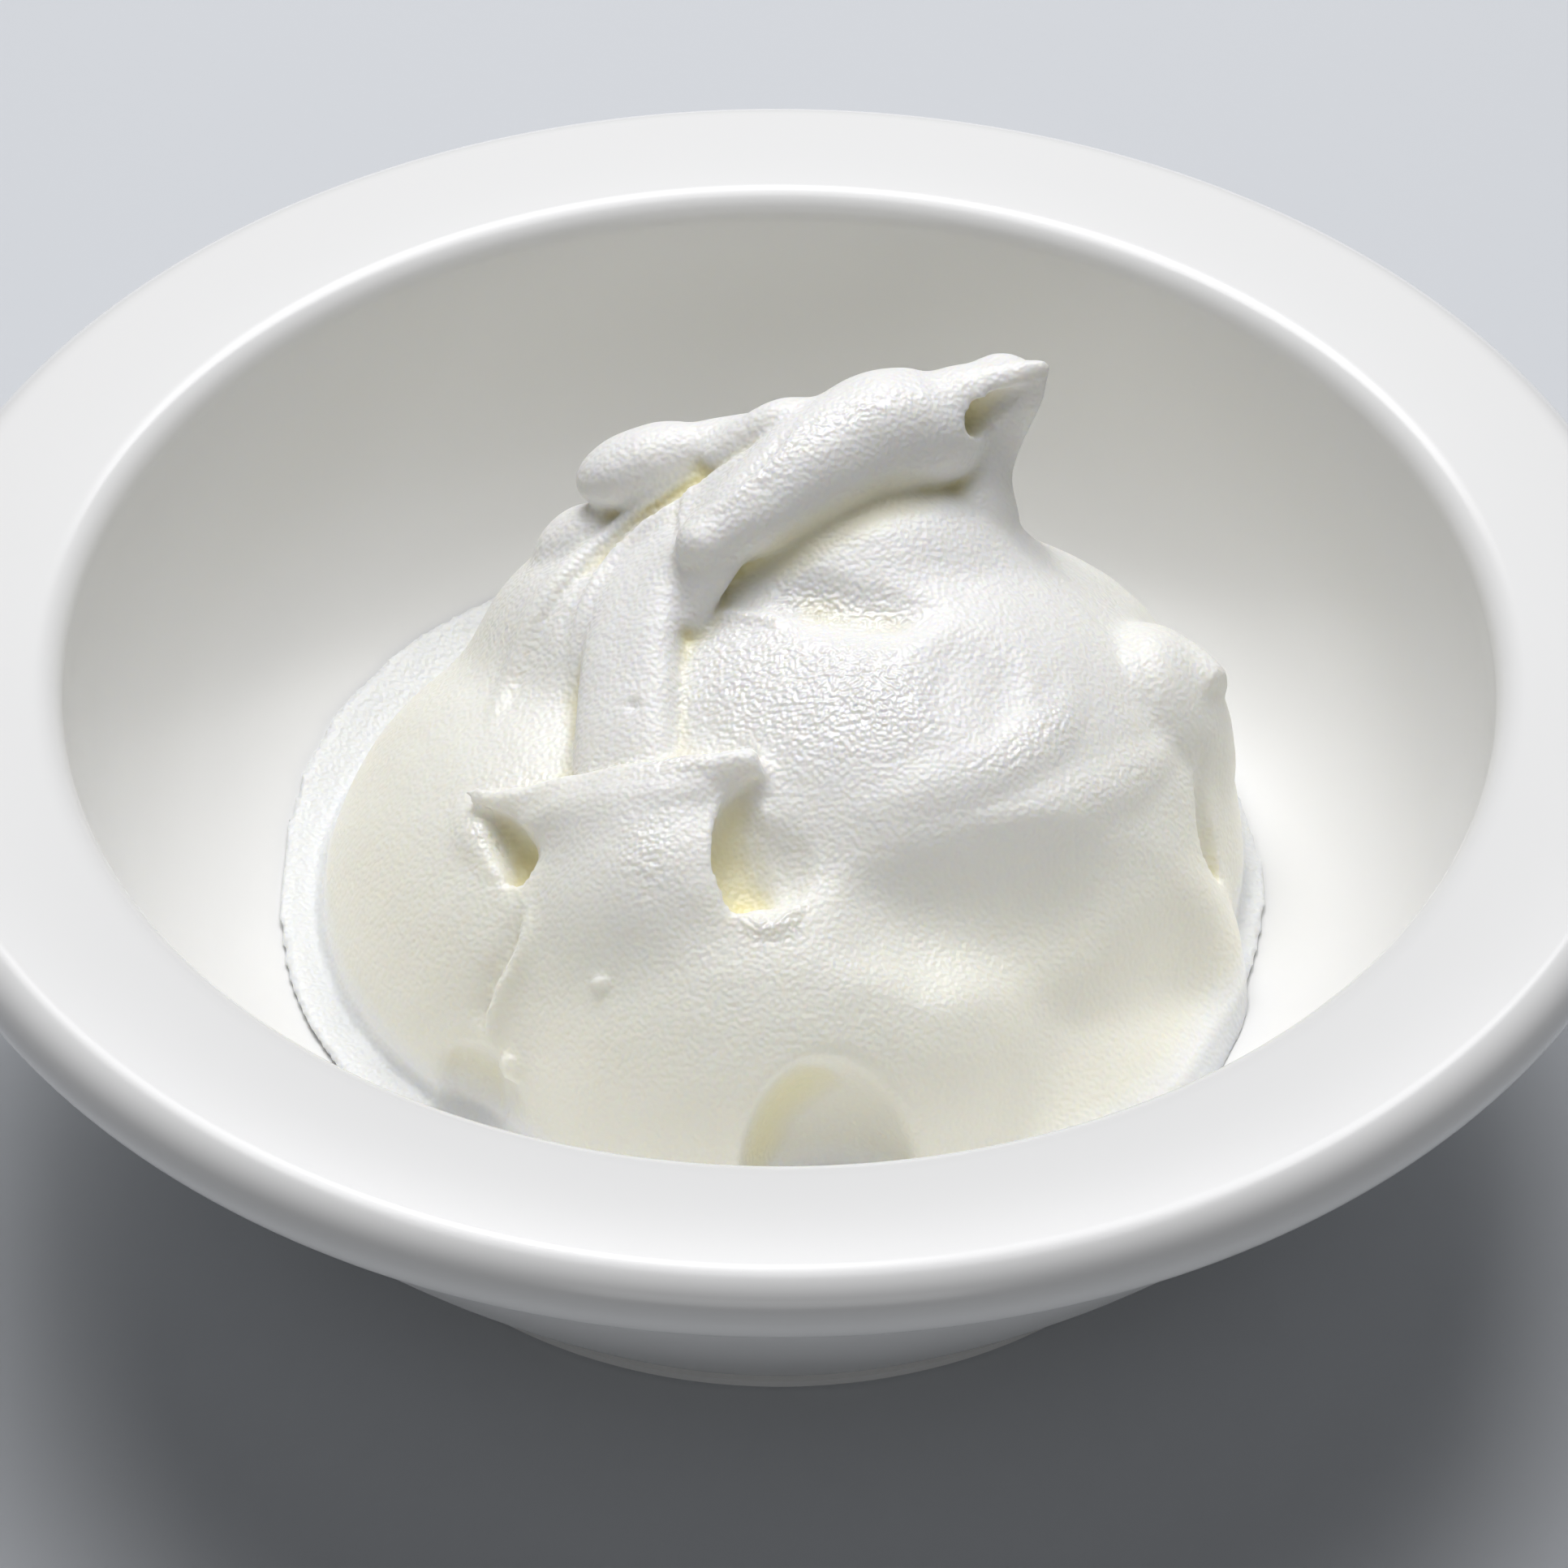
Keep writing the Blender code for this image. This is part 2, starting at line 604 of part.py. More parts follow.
def make_cream(material, voxel=VOXEL, triangles=CREAM_TRIANGLES):
    """Lay up, fuse, hollow, stroke and press the dollop."""
    meshes = [lobe_mesh(*spec) for spec in MASSES.values()]
    meshes += [roll_mesh(*spec) for spec in MASS_ROLLS.values()]
    masses = joined("masses", meshes)
    fuse(masses, MASS_VOXEL, MASS_SMOOTHING)
    meshes = [masses.data.copy(), puddle_mesh()]
    bpy.data.objects.remove(masses)
    meshes += [lobe_mesh(*spec) for spec in LOBES.values()]
    meshes += [roll_mesh(*spec) for spec in ROLLS.values()]
    obj = joined("sour_cream", meshes)
    fuse(obj, voxel, FOLD_SMOOTHING)
    cutters = [lobe_mesh(*spec) for spec in HOLLOW_LOBES.values()]
    cutters += [roll_mesh(*spec) for spec in HOLLOW_ROLLS.values()]
    cut(obj, cutters)
    fuse(obj, voxel, FOLD_SMOOTHING)
    soften(obj)
    for spec in STROKES.values():
        stroke(obj, *spec)
    press_onto_well(obj)
    if triangles:
        thin_out(obj, triangles)
        press_onto_well(obj)
    obj.data.materials.clear()
    obj.data.materials.append(material)
    obj.data.shade_smooth()
    return obj


def main():
    clear_scene()
    porcelain = make_material("white_porcelain", (0.80, 0.80, 0.79), 0.22)
    cream = make_material("sour_cream", (0.86, 0.86, 0.79), 0.42, 0.3)
    make_bowl(porcelain)
    make_cream(cream)


main()
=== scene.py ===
"""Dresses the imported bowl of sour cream: glazed porcelain, a fine dollop, studio light and the camera.

The bowl and the cream are each modelled again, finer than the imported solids, from the same named sizes. They
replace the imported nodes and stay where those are. Lengths in the tables and in names that end in mm are
millimetres. Everything else is metres.
"""

import logging
import math
from dataclasses import dataclass, field
from enum import Enum

import bpy
import numpy as np
from mathutils import Matrix, Vector, noise


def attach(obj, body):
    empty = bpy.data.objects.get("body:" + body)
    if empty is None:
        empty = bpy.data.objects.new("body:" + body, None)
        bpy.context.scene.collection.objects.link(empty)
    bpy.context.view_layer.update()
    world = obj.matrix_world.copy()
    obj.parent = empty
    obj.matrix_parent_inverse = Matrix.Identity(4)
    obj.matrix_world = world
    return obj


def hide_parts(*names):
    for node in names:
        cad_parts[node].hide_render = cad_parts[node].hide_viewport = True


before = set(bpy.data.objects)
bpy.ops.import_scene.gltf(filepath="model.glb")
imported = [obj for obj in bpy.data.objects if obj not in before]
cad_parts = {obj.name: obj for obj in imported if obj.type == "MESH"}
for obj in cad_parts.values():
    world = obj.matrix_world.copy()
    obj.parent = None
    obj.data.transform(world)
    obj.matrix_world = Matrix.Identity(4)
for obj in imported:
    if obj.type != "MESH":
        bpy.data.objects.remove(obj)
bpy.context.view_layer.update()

MM = 0.001
LOG = logging.getLogger("sour_cream_bowl")

Triple = tuple[float, float, float]
Station = tuple[float, float, float, float]
Colour = tuple[float, float, float, float]


class Profile(Enum):
    """The cross-section that a stroke leaves in the cream."""

    ROUND = "a rounded ridge or groove"
    CREASE = "a ridge or groove with a sharp line along its middle"
    STEP = "a sheet's edge: the left of the path stands higher than its right"


def linear(code: str) -> Colour:
    """Turn an sRGB hex colour into linear light.

    Args:
        code: Six hex digits, such as "F4F4F2".

    Returns:
        Red, green, blue and an alpha of one.
    """
    parts = [int(code[i:i + 2], 16) / 255.0 for i in (0, 2, 4)]
    values = [c / 12.92 if c <= 0.04045 else ((c + 0.055) / 1.055) ** 2.4 for c in parts]
    return (values[0], values[1], values[2], 1.0)


def add_node(tree: bpy.types.NodeTree, kind: str, inputs: dict | None = None, **settings) -> bpy.types.Node:
    """Add a node with its settings, values and links.

    Args:
        tree: The tree that the node goes into.
        kind: The node's type name.
        inputs: A value or another node's output for each input, by name or number.
        **settings: Properties of the node itself.

    Returns:
        The new node.
    """
    node = tree.nodes.new(kind)
    for name, value in settings.items():
        setattr(node, name, value)
    for name, value in (inputs or {}).items():
        if isinstance(value, bpy.types.NodeSocket):
            tree.links.new(value, node.inputs[name])
        else:
            node.inputs[name].default_value = value
    return node


def add_ramp(node: bpy.types.Node, stops: list[tuple[float, Colour]]) -> bpy.types.Node:
    """Set the stops of a colour ramp node and return it."""
    ramp = node.color_ramp
    ramp.elements[0].position, ramp.elements[0].color = stops[0]
    ramp.elements[1].position, ramp.elements[1].color = stops[-1]
    for position, colour in stops[1:-1]:
        ramp.elements.new(position).color = colour
    return node


def deselect_all() -> None:
    """Leave nothing selected, in object mode."""
    if bpy.context.mode != "OBJECT":
        bpy.ops.object.mode_set(mode="OBJECT")
    bpy.ops.object.select_all(action="DESELECT")


def pick(*objects: bpy.types.Object) -> None:
    """Select these objects alone and make the first one active."""
    deselect_all()
    for obj in objects:
        obj.select_set(True)
    bpy.context.view_layer.objects.active = objects[0]


def apply_modifier(obj: bpy.types.Object, kind: str, **settings) -> None:
    """Add one modifier to an object and apply it.

    Args:
        obj: The object to change.
        kind: The modifier's type name.
        **settings: The modifier's properties.
    """
    pick(obj)
    modifier = obj.modifiers.new(kind.lower(), kind)
    for name, value in settings.items():
        setattr(modifier, name, value)
    bpy.ops.object.modifier_apply(modifier=modifier.name)


def read_vertices(mesh: bpy.types.Mesh, what: str) -> np.ndarray:
    """Read the places ("co") or normals ("normal") of a mesh's vertices, one row each."""
    values = np.empty(len(mesh.vertices) * 3, np.float32)
    mesh.vertices.foreach_get(what, values)
    return values.reshape(-1, 3).astype(float)


def write_vertices(mesh: bpy.types.Mesh, places: np.ndarray) -> None:
    """Write the places of a mesh's vertices."""
    mesh.vertices.foreach_set("co", places.astype(np.float32).ravel())
    mesh.update()


@dataclass(frozen=True)
class GlazedPorcelain:
    """White porcelain, dipped in a clear glaze: smooth, bright and softly mirror-like."""

    name: str = "glazed_porcelain"
    body: str = "EFEFEE"
    ior: float = 1.5
    roughness: float = 0.2
    glaze_wave_mm: float = 14.0
    glaze_wave_height_mm: float = 0.3
    glaze_wave_strength: float = 0.12

    def build(self) -> bpy.types.Material:
        """Make the material's nodes.

        Returns:
            The material, on Object coordinates.
        """
        material = bpy.data.materials.new(self.name)
        material.use_nodes = True
        tree = material.node_tree
        shader = tree.nodes["Principled BSDF"]
        place = add_node(tree, "ShaderNodeTexCoord").outputs["Object"]
        shader.inputs["Base Color"].default_value = linear(self.body)
        # Dipped glaze is never quite flat, so highlights on it wander.
        wave = add_node(tree, "ShaderNodeTexNoise", {
            "Vector": place, "Scale": 1.0 / (self.glaze_wave_mm * MM), "Detail": 0.0})
        bump = add_node(tree, "ShaderNodeBump", {
            "Height": wave.outputs["Fac"], "Strength": self.glaze_wave_strength,
            "Distance": self.glaze_wave_height_mm * MM})
        tree.links.new(bump.outputs["Normal"], shader.inputs["Normal"])
        shader.inputs["Roughness"].default_value = self.roughness
        shader.inputs["IOR"].default_value = self.ior
        shader.inputs["Metallic"].default_value = 0.0
        return material


@dataclass(frozen=True)
class CulturedCream:
    """Sour cream, stirred and spooned: light runs a little way in, and fine bubbles grain its skin.

    The mesh says where the skin is wet and how deep it lies in a hollow, each from 0 to 1. The second paints
    shade: it turns the colour ivory and then pale yellow.
    """

    name: str = "cultured_sour_cream"
    thin: str = "E3E4E3"
    fresh: str = "FDFCF6"
    # Painted shade: the ivory and pale yellow below stand in for the shade in hollows, low down and under
    # folds.
    shaded_ivory: str = "F3F0E0"
    deep_shade_yellow: str = "F5EDBE"
    fresh_at: float = 0.1
    shaded_ivory_at: float = 0.4
    ior: float = 1.4
    bubble_mm: float = 0.38
    bubble_height_mm: float = 0.3
    grain_when_dull: float = 0.4
    grain_when_wet: float = 0.8
    milkiness: float = 0.6
    light_reach: Triple = (1.0, 0.85, 0.55)
    depth_mm: float = 1.2
    shine: float = 0.8
    dull: float = 0.44
    glossy: float = 0.16
    wet: str = "wet"
    hollow: str = "hollow"

    def build(self) -> bpy.types.Material:
        """Make the material's nodes.

        Returns:
            The material, on Object coordinates and the mesh's own two attributes.
        """
        material = bpy.data.materials.new(self.name)
        material.use_nodes = True
        tree = material.node_tree
        shader = tree.nodes["Principled BSDF"]
        place = add_node(tree, "ShaderNodeTexCoord").outputs["Object"]
        # Painted shade: the white turns to ivory and then to pale yellow where the skin lies in a hollow, low
        # on the mound or under folds.
        hollow = add_node(tree, "ShaderNodeAttribute", attribute_name=self.hollow)
        colour = add_ramp(add_node(tree, "ShaderNodeValToRGB", {"Fac": hollow.outputs["Fac"]}), [
            (0.0, linear(self.thin)), (self.fresh_at, linear(self.fresh)),
            (self.shaded_ivory_at, linear(self.shaded_ivory)), (1.0, linear(self.deep_shade_yellow))])
        tree.links.new(colour.outputs["Color"], shader.inputs["Base Color"])
        # Burst bubbles leave a fine pitted grain that sparkles where the skin is wet.
        wet = add_node(tree, "ShaderNodeAttribute", attribute_name=self.wet)
        grain = add_node(tree, "ShaderNodeTexNoise", {
            "Vector": place, "Scale": 1.0 / (self.bubble_mm * MM), "Detail": 0.0})
        strength = add_node(tree, "ShaderNodeMapRange", {
            "Value": wet.outputs["Fac"], "To Min": self.grain_when_dull,
            "To Max": self.grain_when_wet})
        bump = add_node(tree, "ShaderNodeBump", {
            "Height": grain.outputs["Fac"], "Strength": strength.outputs["Result"],
            "Distance": self.bubble_height_mm * MM})
        tree.links.new(bump.outputs["Normal"], shader.inputs["Normal"])
        gloss = add_node(tree, "ShaderNodeMapRange", {
            "Value": wet.outputs["Fac"], "To Min": self.dull, "To Max": self.glossy})
        tree.links.new(gloss.outputs["Result"], shader.inputs["Roughness"])
        shader.inputs["IOR"].default_value = self.ior
        shader.inputs["Specular IOR Level"].default_value = self.shine
        shader.inputs["Subsurface Weight"].default_value = self.milkiness
        shader.inputs["Subsurface Radius"].default_value = self.light_reach
        shader.inputs["Subsurface Scale"].default_value = self.depth_mm * MM
        return material


@dataclass(frozen=True)
class PaintedBoard:
    """A matt board under the bowl, painted a pale cool grey."""

    name: str = "matt_painted_board"
    paint: str = "D4D7DB"
    roughness: float = 0.75
    tooth_mm: float = 1.2
    tooth_height_mm: float = 0.1
    tooth_strength: float = 0.1

    def build(self) -> bpy.types.Material:
        """Make the material's nodes.

        Returns:
            The material, on Object coordinates.
        """
        material = bpy.data.materials.new(self.name)
        material.use_nodes = True
        tree = material.node_tree
        shader = tree.nodes["Principled BSDF"]
        place = add_node(tree, "ShaderNodeTexCoord").outputs["Object"]
        tooth = add_node(tree, "ShaderNodeTexNoise", {
            "Vector": place, "Scale": 1.0 / (self.tooth_mm * MM), "Detail": 0.0})
        bump = add_node(tree, "ShaderNodeBump", {
            "Height": tooth.outputs["Fac"], "Strength": self.tooth_strength,
            "Distance": self.tooth_height_mm * MM})
        tree.links.new(bump.outputs["Normal"], shader.inputs["Normal"])
        shader.inputs["Base Color"].default_value = linear(self.paint)
        shader.inputs["Roughness"].default_value = self.roughness
        return material


@dataclass
class Bowl:
    """The turned porcelain bowl: low foot, flaring body, wide rim with a round edge, and deep well."""

    finish: GlazedPorcelain = field(default_factory=GlazedPorcelain)
    rim_radius: float = 65.0 * MM
    height: float = 42.0 * MM
    rim_edge_round: float = 2.8 * MM
    rim_dish: float = 0.55 * MM
    well_radius: float = 51.7 * MM
    well_floor_height: float = 8.0 * MM
    well_fullness: float = 2.8
    body_top_radius: float = 58.5 * MM
    flare_radius: float = 61.0 * MM
    flare_height: float = 30.5 * MM
    foot_radius: float = 36.0 * MM
    foot_height: float = 1.2 * MM
    foot_width: float = 4.0 * MM
    foot_groove: float = 0.6 * MM
    foot_chamfer: float = 0.3 * MM
    base_recess: float = 1.6 * MM
    base_slope: float = 1.0 * MM
    lip_angle: float = 92.0
    well_steps: int = 40
    lip_steps: int = 12
    edge_steps: int = 28
    body_steps: int = 32
    turning_steps: int = 256
    weld: float = 0.01 * MM
    crease_angle: float = 40.0

    def well_height(self, r: np.ndarray | float) -> np.ndarray | float:
        """Height of the well's surface.

        Args:
            r: Distance from the bowl's axis, one or many.

        Returns:
            The height there.
        """
        share = np.minimum(np.abs(r) / self.well_radius, 1.0)
        wall_top = self.height - self.rim_edge_round
        fall = 1.0 - (1.0 - share ** self.well_fullness) ** (1.0 / self.well_fullness)
        return self.well_floor_height + (wall_top - self.well_floor_height) * fall

    def arc(self, centre: tuple[float, float], radius: float, start: float, end: float,
            steps: int) -> list[tuple[float, float]]:
        """Points of an arc in the turning plane, with angles in degrees."""
        points = []
        for i in range(steps + 1):
            angle = math.radians(start + (end - start) * i / steps)
            points.append((centre[0] + radius * math.cos(angle), centre[1] + radius * math.sin(angle)))
        return points

    def well_points(self, steps: int) -> list[tuple[float, float]]:
        """The well from the middle of its floor to the top of its wall."""
        points = []
        for i in range(steps):
            angle = 0.5 * math.pi * i / steps
            r = self.well_radius * math.sin(angle) ** (2.0 / self.well_fullness)
            points.append((r, float(self.well_height(r))))
        return points

    def body_points(self, steps: int) -> list[tuple[float, float]]:
        """The outer body from under the rim down to the foot, one quadratic curve."""
        top = Vector((self.body_top_radius, self.height - 2.0 * self.rim_edge_round))
        flare = Vector((self.flare_radius, self.flare_height))
        toe = Vector((self.foot_radius + self.foot_chamfer, self.foot_height + self.foot_groove))
        points = []
        for i in range(steps + 1):
            t = i / steps
            point = top * (1 - t) ** 2 + flare * 2 * t * (1 - t) + toe * t * t
            points.append((point.x, point.y))
        return points

    def outline(self) -> list[tuple[float, float]]:
        """The turned outline from the well's middle, over the rim, down to the foot."""
        lip_round = self.rim_edge_round - self.rim_dish
        edge_z = self.height - self.rim_edge_round
        lip = (self.well_radius + lip_round, edge_z)
        edge = (self.rim_radius - self.rim_edge_round, edge_z)
        points = self.well_points(self.well_steps)
        points += self.arc(lip, lip_round, 180.0, self.lip_angle, self.lip_steps)
        points += self.arc(edge, self.rim_edge_round, self.lip_angle, -90.0, self.edge_steps)
        points += self.body_points(self.body_steps)
        points.append((self.foot_radius - self.foot_groove, self.foot_height))
        points.append((self.foot_radius, self.foot_height - self.foot_chamfer))
        points.append((self.foot_radius, self.foot_chamfer))
        points.append((self.foot_radius - self.foot_chamfer, 0.0))
        points.append((self.foot_radius - self.foot_width, 0.0))
        points.append((self.foot_radius - self.foot_width - self.base_slope, self.base_recess))
        points.append((0.0, self.base_recess))
        return points

    def build(self) -> bpy.types.Object:
        """Extrude the outline point by point and spin it about the axis.

        Returns:
            The bowl, in place.
        """
        deselect_all()
        outline = [Vector((r, 0.0, z)) for r, z in self.outline()]
        bpy.ops.mesh.primitive_plane_add(size=MM)
        obj = bpy.context.object
        obj.name = obj.data.name = "porcelain_bowl"
        bpy.ops.object.mode_set(mode="EDIT")
        bpy.ops.mesh.merge(type="CENTER")
        bpy.ops.transform.translate(value=outline[0])
        for start, end in zip(outline, outline[1:]):
            bpy.ops.mesh.extrude_region_move(TRANSFORM_OT_translate={"value": end - start})
        bpy.ops.mesh.select_all(action="SELECT")
        bpy.ops.mesh.spin(steps=self.turning_steps, angle=2.0 * math.pi, center=(0, 0, 0), axis=(0, 0, 1))
        bpy.ops.mesh.select_all(action="SELECT")
        bpy.ops.mesh.remove_doubles(threshold=self.weld)
        bpy.ops.mesh.normals_make_consistent(inside=False)
        bpy.ops.object.mode_set(mode="OBJECT")
        bpy.ops.object.shade_smooth_by_angle(angle=math.radians(self.crease_angle))
        obj.data.materials.append(self.finish.build())
        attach(obj, "root")
        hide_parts("bowl")
        LOG.info("%s: %d faces", obj.name, len(obj.data.polygons))
        return obj


@dataclass(frozen=True)
class Lobe:
    """A rounded lump or hollow: a ball stretched to its half sizes and turned about X, Y and Z (degrees)."""

    centre: Triple
    half: Triple
    turns: Triple = (0.0, 0.0, 0.0)
    subdivisions: int = 5

    def build(self) -> bpy.types.Object:
        """Add the ball, stretch it, turn it and put it in place."""
        deselect_all()
        bpy.ops.mesh.primitive_ico_sphere_add(
            subdivisions=self.subdivisions, radius=MM, location=[c * MM for c in self.centre],
            scale=self.half, rotation=[math.radians(a) for a in self.turns])
        bpy.ops.object.transform_apply(location=True, rotation=True, scale=True)
        return bpy.context.object


@dataclass(frozen=True)
class Roll:
    """A roll or ribbon: an oval drawn along a smooth curve.

    Each station is a point along the middle and the half width there. Flatness is the thickness as a share
    of the width, and tilt turns the oval about the curve (degrees).
    """

    stations: tuple[Station, ...]
    flatness: float = 1.0
    tilt: float = 0.0
    oval_steps: int = 6
    curve_steps: int = 12

    def build(self) -> bpy.types.Object:
        """Draw the curve, sweep the oval along it and make it a mesh with closed ends."""
        deselect_all()
        bpy.ops.curve.primitive_bezier_circle_add(radius=1.0)
        oval = bpy.context.object
        oval.data.resolution_u = self.oval_steps
        for knot in oval.data.splines[0].bezier_points:
            for part in ("co", "handle_left", "handle_right"):
                x, y, _ = getattr(knot, part)
                setattr(knot, part, (x, y * self.flatness, 0.0))
        bpy.ops.curve.primitive_bezier_curve_add()
        roll = bpy.context.object
        curve = roll.data
        curve.dimensions = "3D"
        curve.twist_mode = "Z_UP"
        curve.bevel_mode = "OBJECT"
        curve.bevel_object = oval
        curve.use_fill_caps = True
        spline = curve.splines[0]
        spline.resolution_u = self.curve_steps
        spline.bezier_points.add(len(self.stations) - len(spline.bezier_points))
        for knot, (x, y, z, width) in zip(spline.bezier_points, self.stations):
            knot.co = Vector((x, y, z)) * MM
            knot.radius = width * MM
            knot.tilt = math.radians(self.tilt)
            knot.handle_left_type = knot.handle_right_type = "AUTO"
        pick(roll)
        bpy.ops.object.convert(target="MESH")
        bpy.data.objects.remove(oval)
        return roll


def smooth_path(points: tuple[Triple, ...], steps: int = 12) -> np.ndarray:
    """Points of a smooth curve through the given points.

    Args:
        points: The points to pass through, two or more.
        steps: Points for each stretch.

    Returns:
        One row for each point.
    """
    pts = np.array(points, float)
    pts = np.vstack([2 * pts[0] - pts[1], pts, 2 * pts[-1] - pts[-2]])
    path = []
    for i in range(1, len(pts) - 2):
        p0, p1, p2, p3 = pts[i - 1:i + 3]
        for t in np.arange(steps) / steps:
            path.append(0.5 * (2 * p1 + (p2 - p0) * t + (2 * p0 - 5 * p1 + 4 * p2 - p3) * t * t
                               + (3 * p1 - p0 - 3 * p2 + p3) * t ** 3))
    path.append(pts[-2])
    return np.array(path)


def between(first: tuple[Triple, ...], second: tuple[Triple, ...], share: float) -> tuple[Triple, ...]:
    """A path that runs a share of the way from one path to another."""
    return tuple(tuple((1.0 - share) * a + share * b for a, b in zip(p, q)) for p, q in zip(first, second))


@dataclass(frozen=True)
class Stroke:
    """A ridge, groove, step or patch along a path on the cream's skin.

    Its path, half width and height are millimetres.
    """

    path: tuple[Triple, ...]
    half_width: float
    height: float
    profile: Profile = Profile.ROUND
    edge_width: float = 0.3 * MM
    snap_width: float = 2.0 * MM
    snap_count: int = 8
    evening: int = 4
    end_slope: float = 3.0
    tip_width: float = 0.4

    def snap(self, path: np.ndarray, skin: np.ndarray) -> np.ndarray:
        """Lay a path onto the skin below it and even it out."""
        laid = []
        for spot in path:
            gaps = np.linalg.norm(skin - spot, axis=1)
            laid.append(skin[np.argpartition(gaps, self.snap_count)[:self.snap_count]].mean(axis=0))
        laid = np.array(laid)
        for _ in range(self.evening):
            laid[1:-1] = 0.25 * laid[:-2] + 0.5 * laid[1:-1] + 0.25 * laid[2:]
        return laid

    def reach(self, places: np.ndarray, normals: np.ndarray) -> tuple[np.ndarray, ...]:
        """Find the vertices that the stroke reaches.

        Args:
            places: Where the mesh's vertices are, in metres.
            normals: Their normals.

        Returns:
            The vertices' numbers, how far they are from the path as a share of the half width, how full the
            stroke is there, and their side, from 1 on the path's left to -1 on its right.
        """
        path = smooth_path(self.path) * MM
        width = self.half_width * MM
        margin = width + self.snap_width
        inside = (places > path.min(axis=0) - margin) & (places < path.max(axis=0) + margin)
        near = np.flatnonzero(np.all(inside, axis=1))
        path = self.snap(path, places[near])
        best = np.full(len(near), np.inf)
        along = np.zeros(len(near))
        side = np.ones(len(near))
        tangents = np.gradient(path, axis=0)
        spacing = np.linalg.norm(tangents, axis=1)
        tangents /= spacing[:, None]
        for i, spot in enumerate(path):
            away = places[near] - spot
            gap = np.linalg.norm(away, axis=1)
            nearer = gap < best
            best[nearer] = gap[nearer]
            along[nearer] = (i + (away @ tangents[i])[nearer] / spacing[i]) / (len(path) - 1)
            turn = np.einsum("ij,ij->i", np.cross(tangents[i], away), normals[near])
            side[nearer] = turn[nearer]
        ends = np.clip(np.minimum(along, 1.0 - along) * self.end_slope, 0.0, 1.0)
        full = ends * ends * (3.0 - 2.0 * ends) if len(self.path) > 2 else np.ones(len(near))
        share = np.clip(best / (width * (self.tip_width + (1.0 - self.tip_width) * full)), 0.0, 1.0)
        return near, share, full, np.clip(side / self.edge_width, -1.0, 1.0)


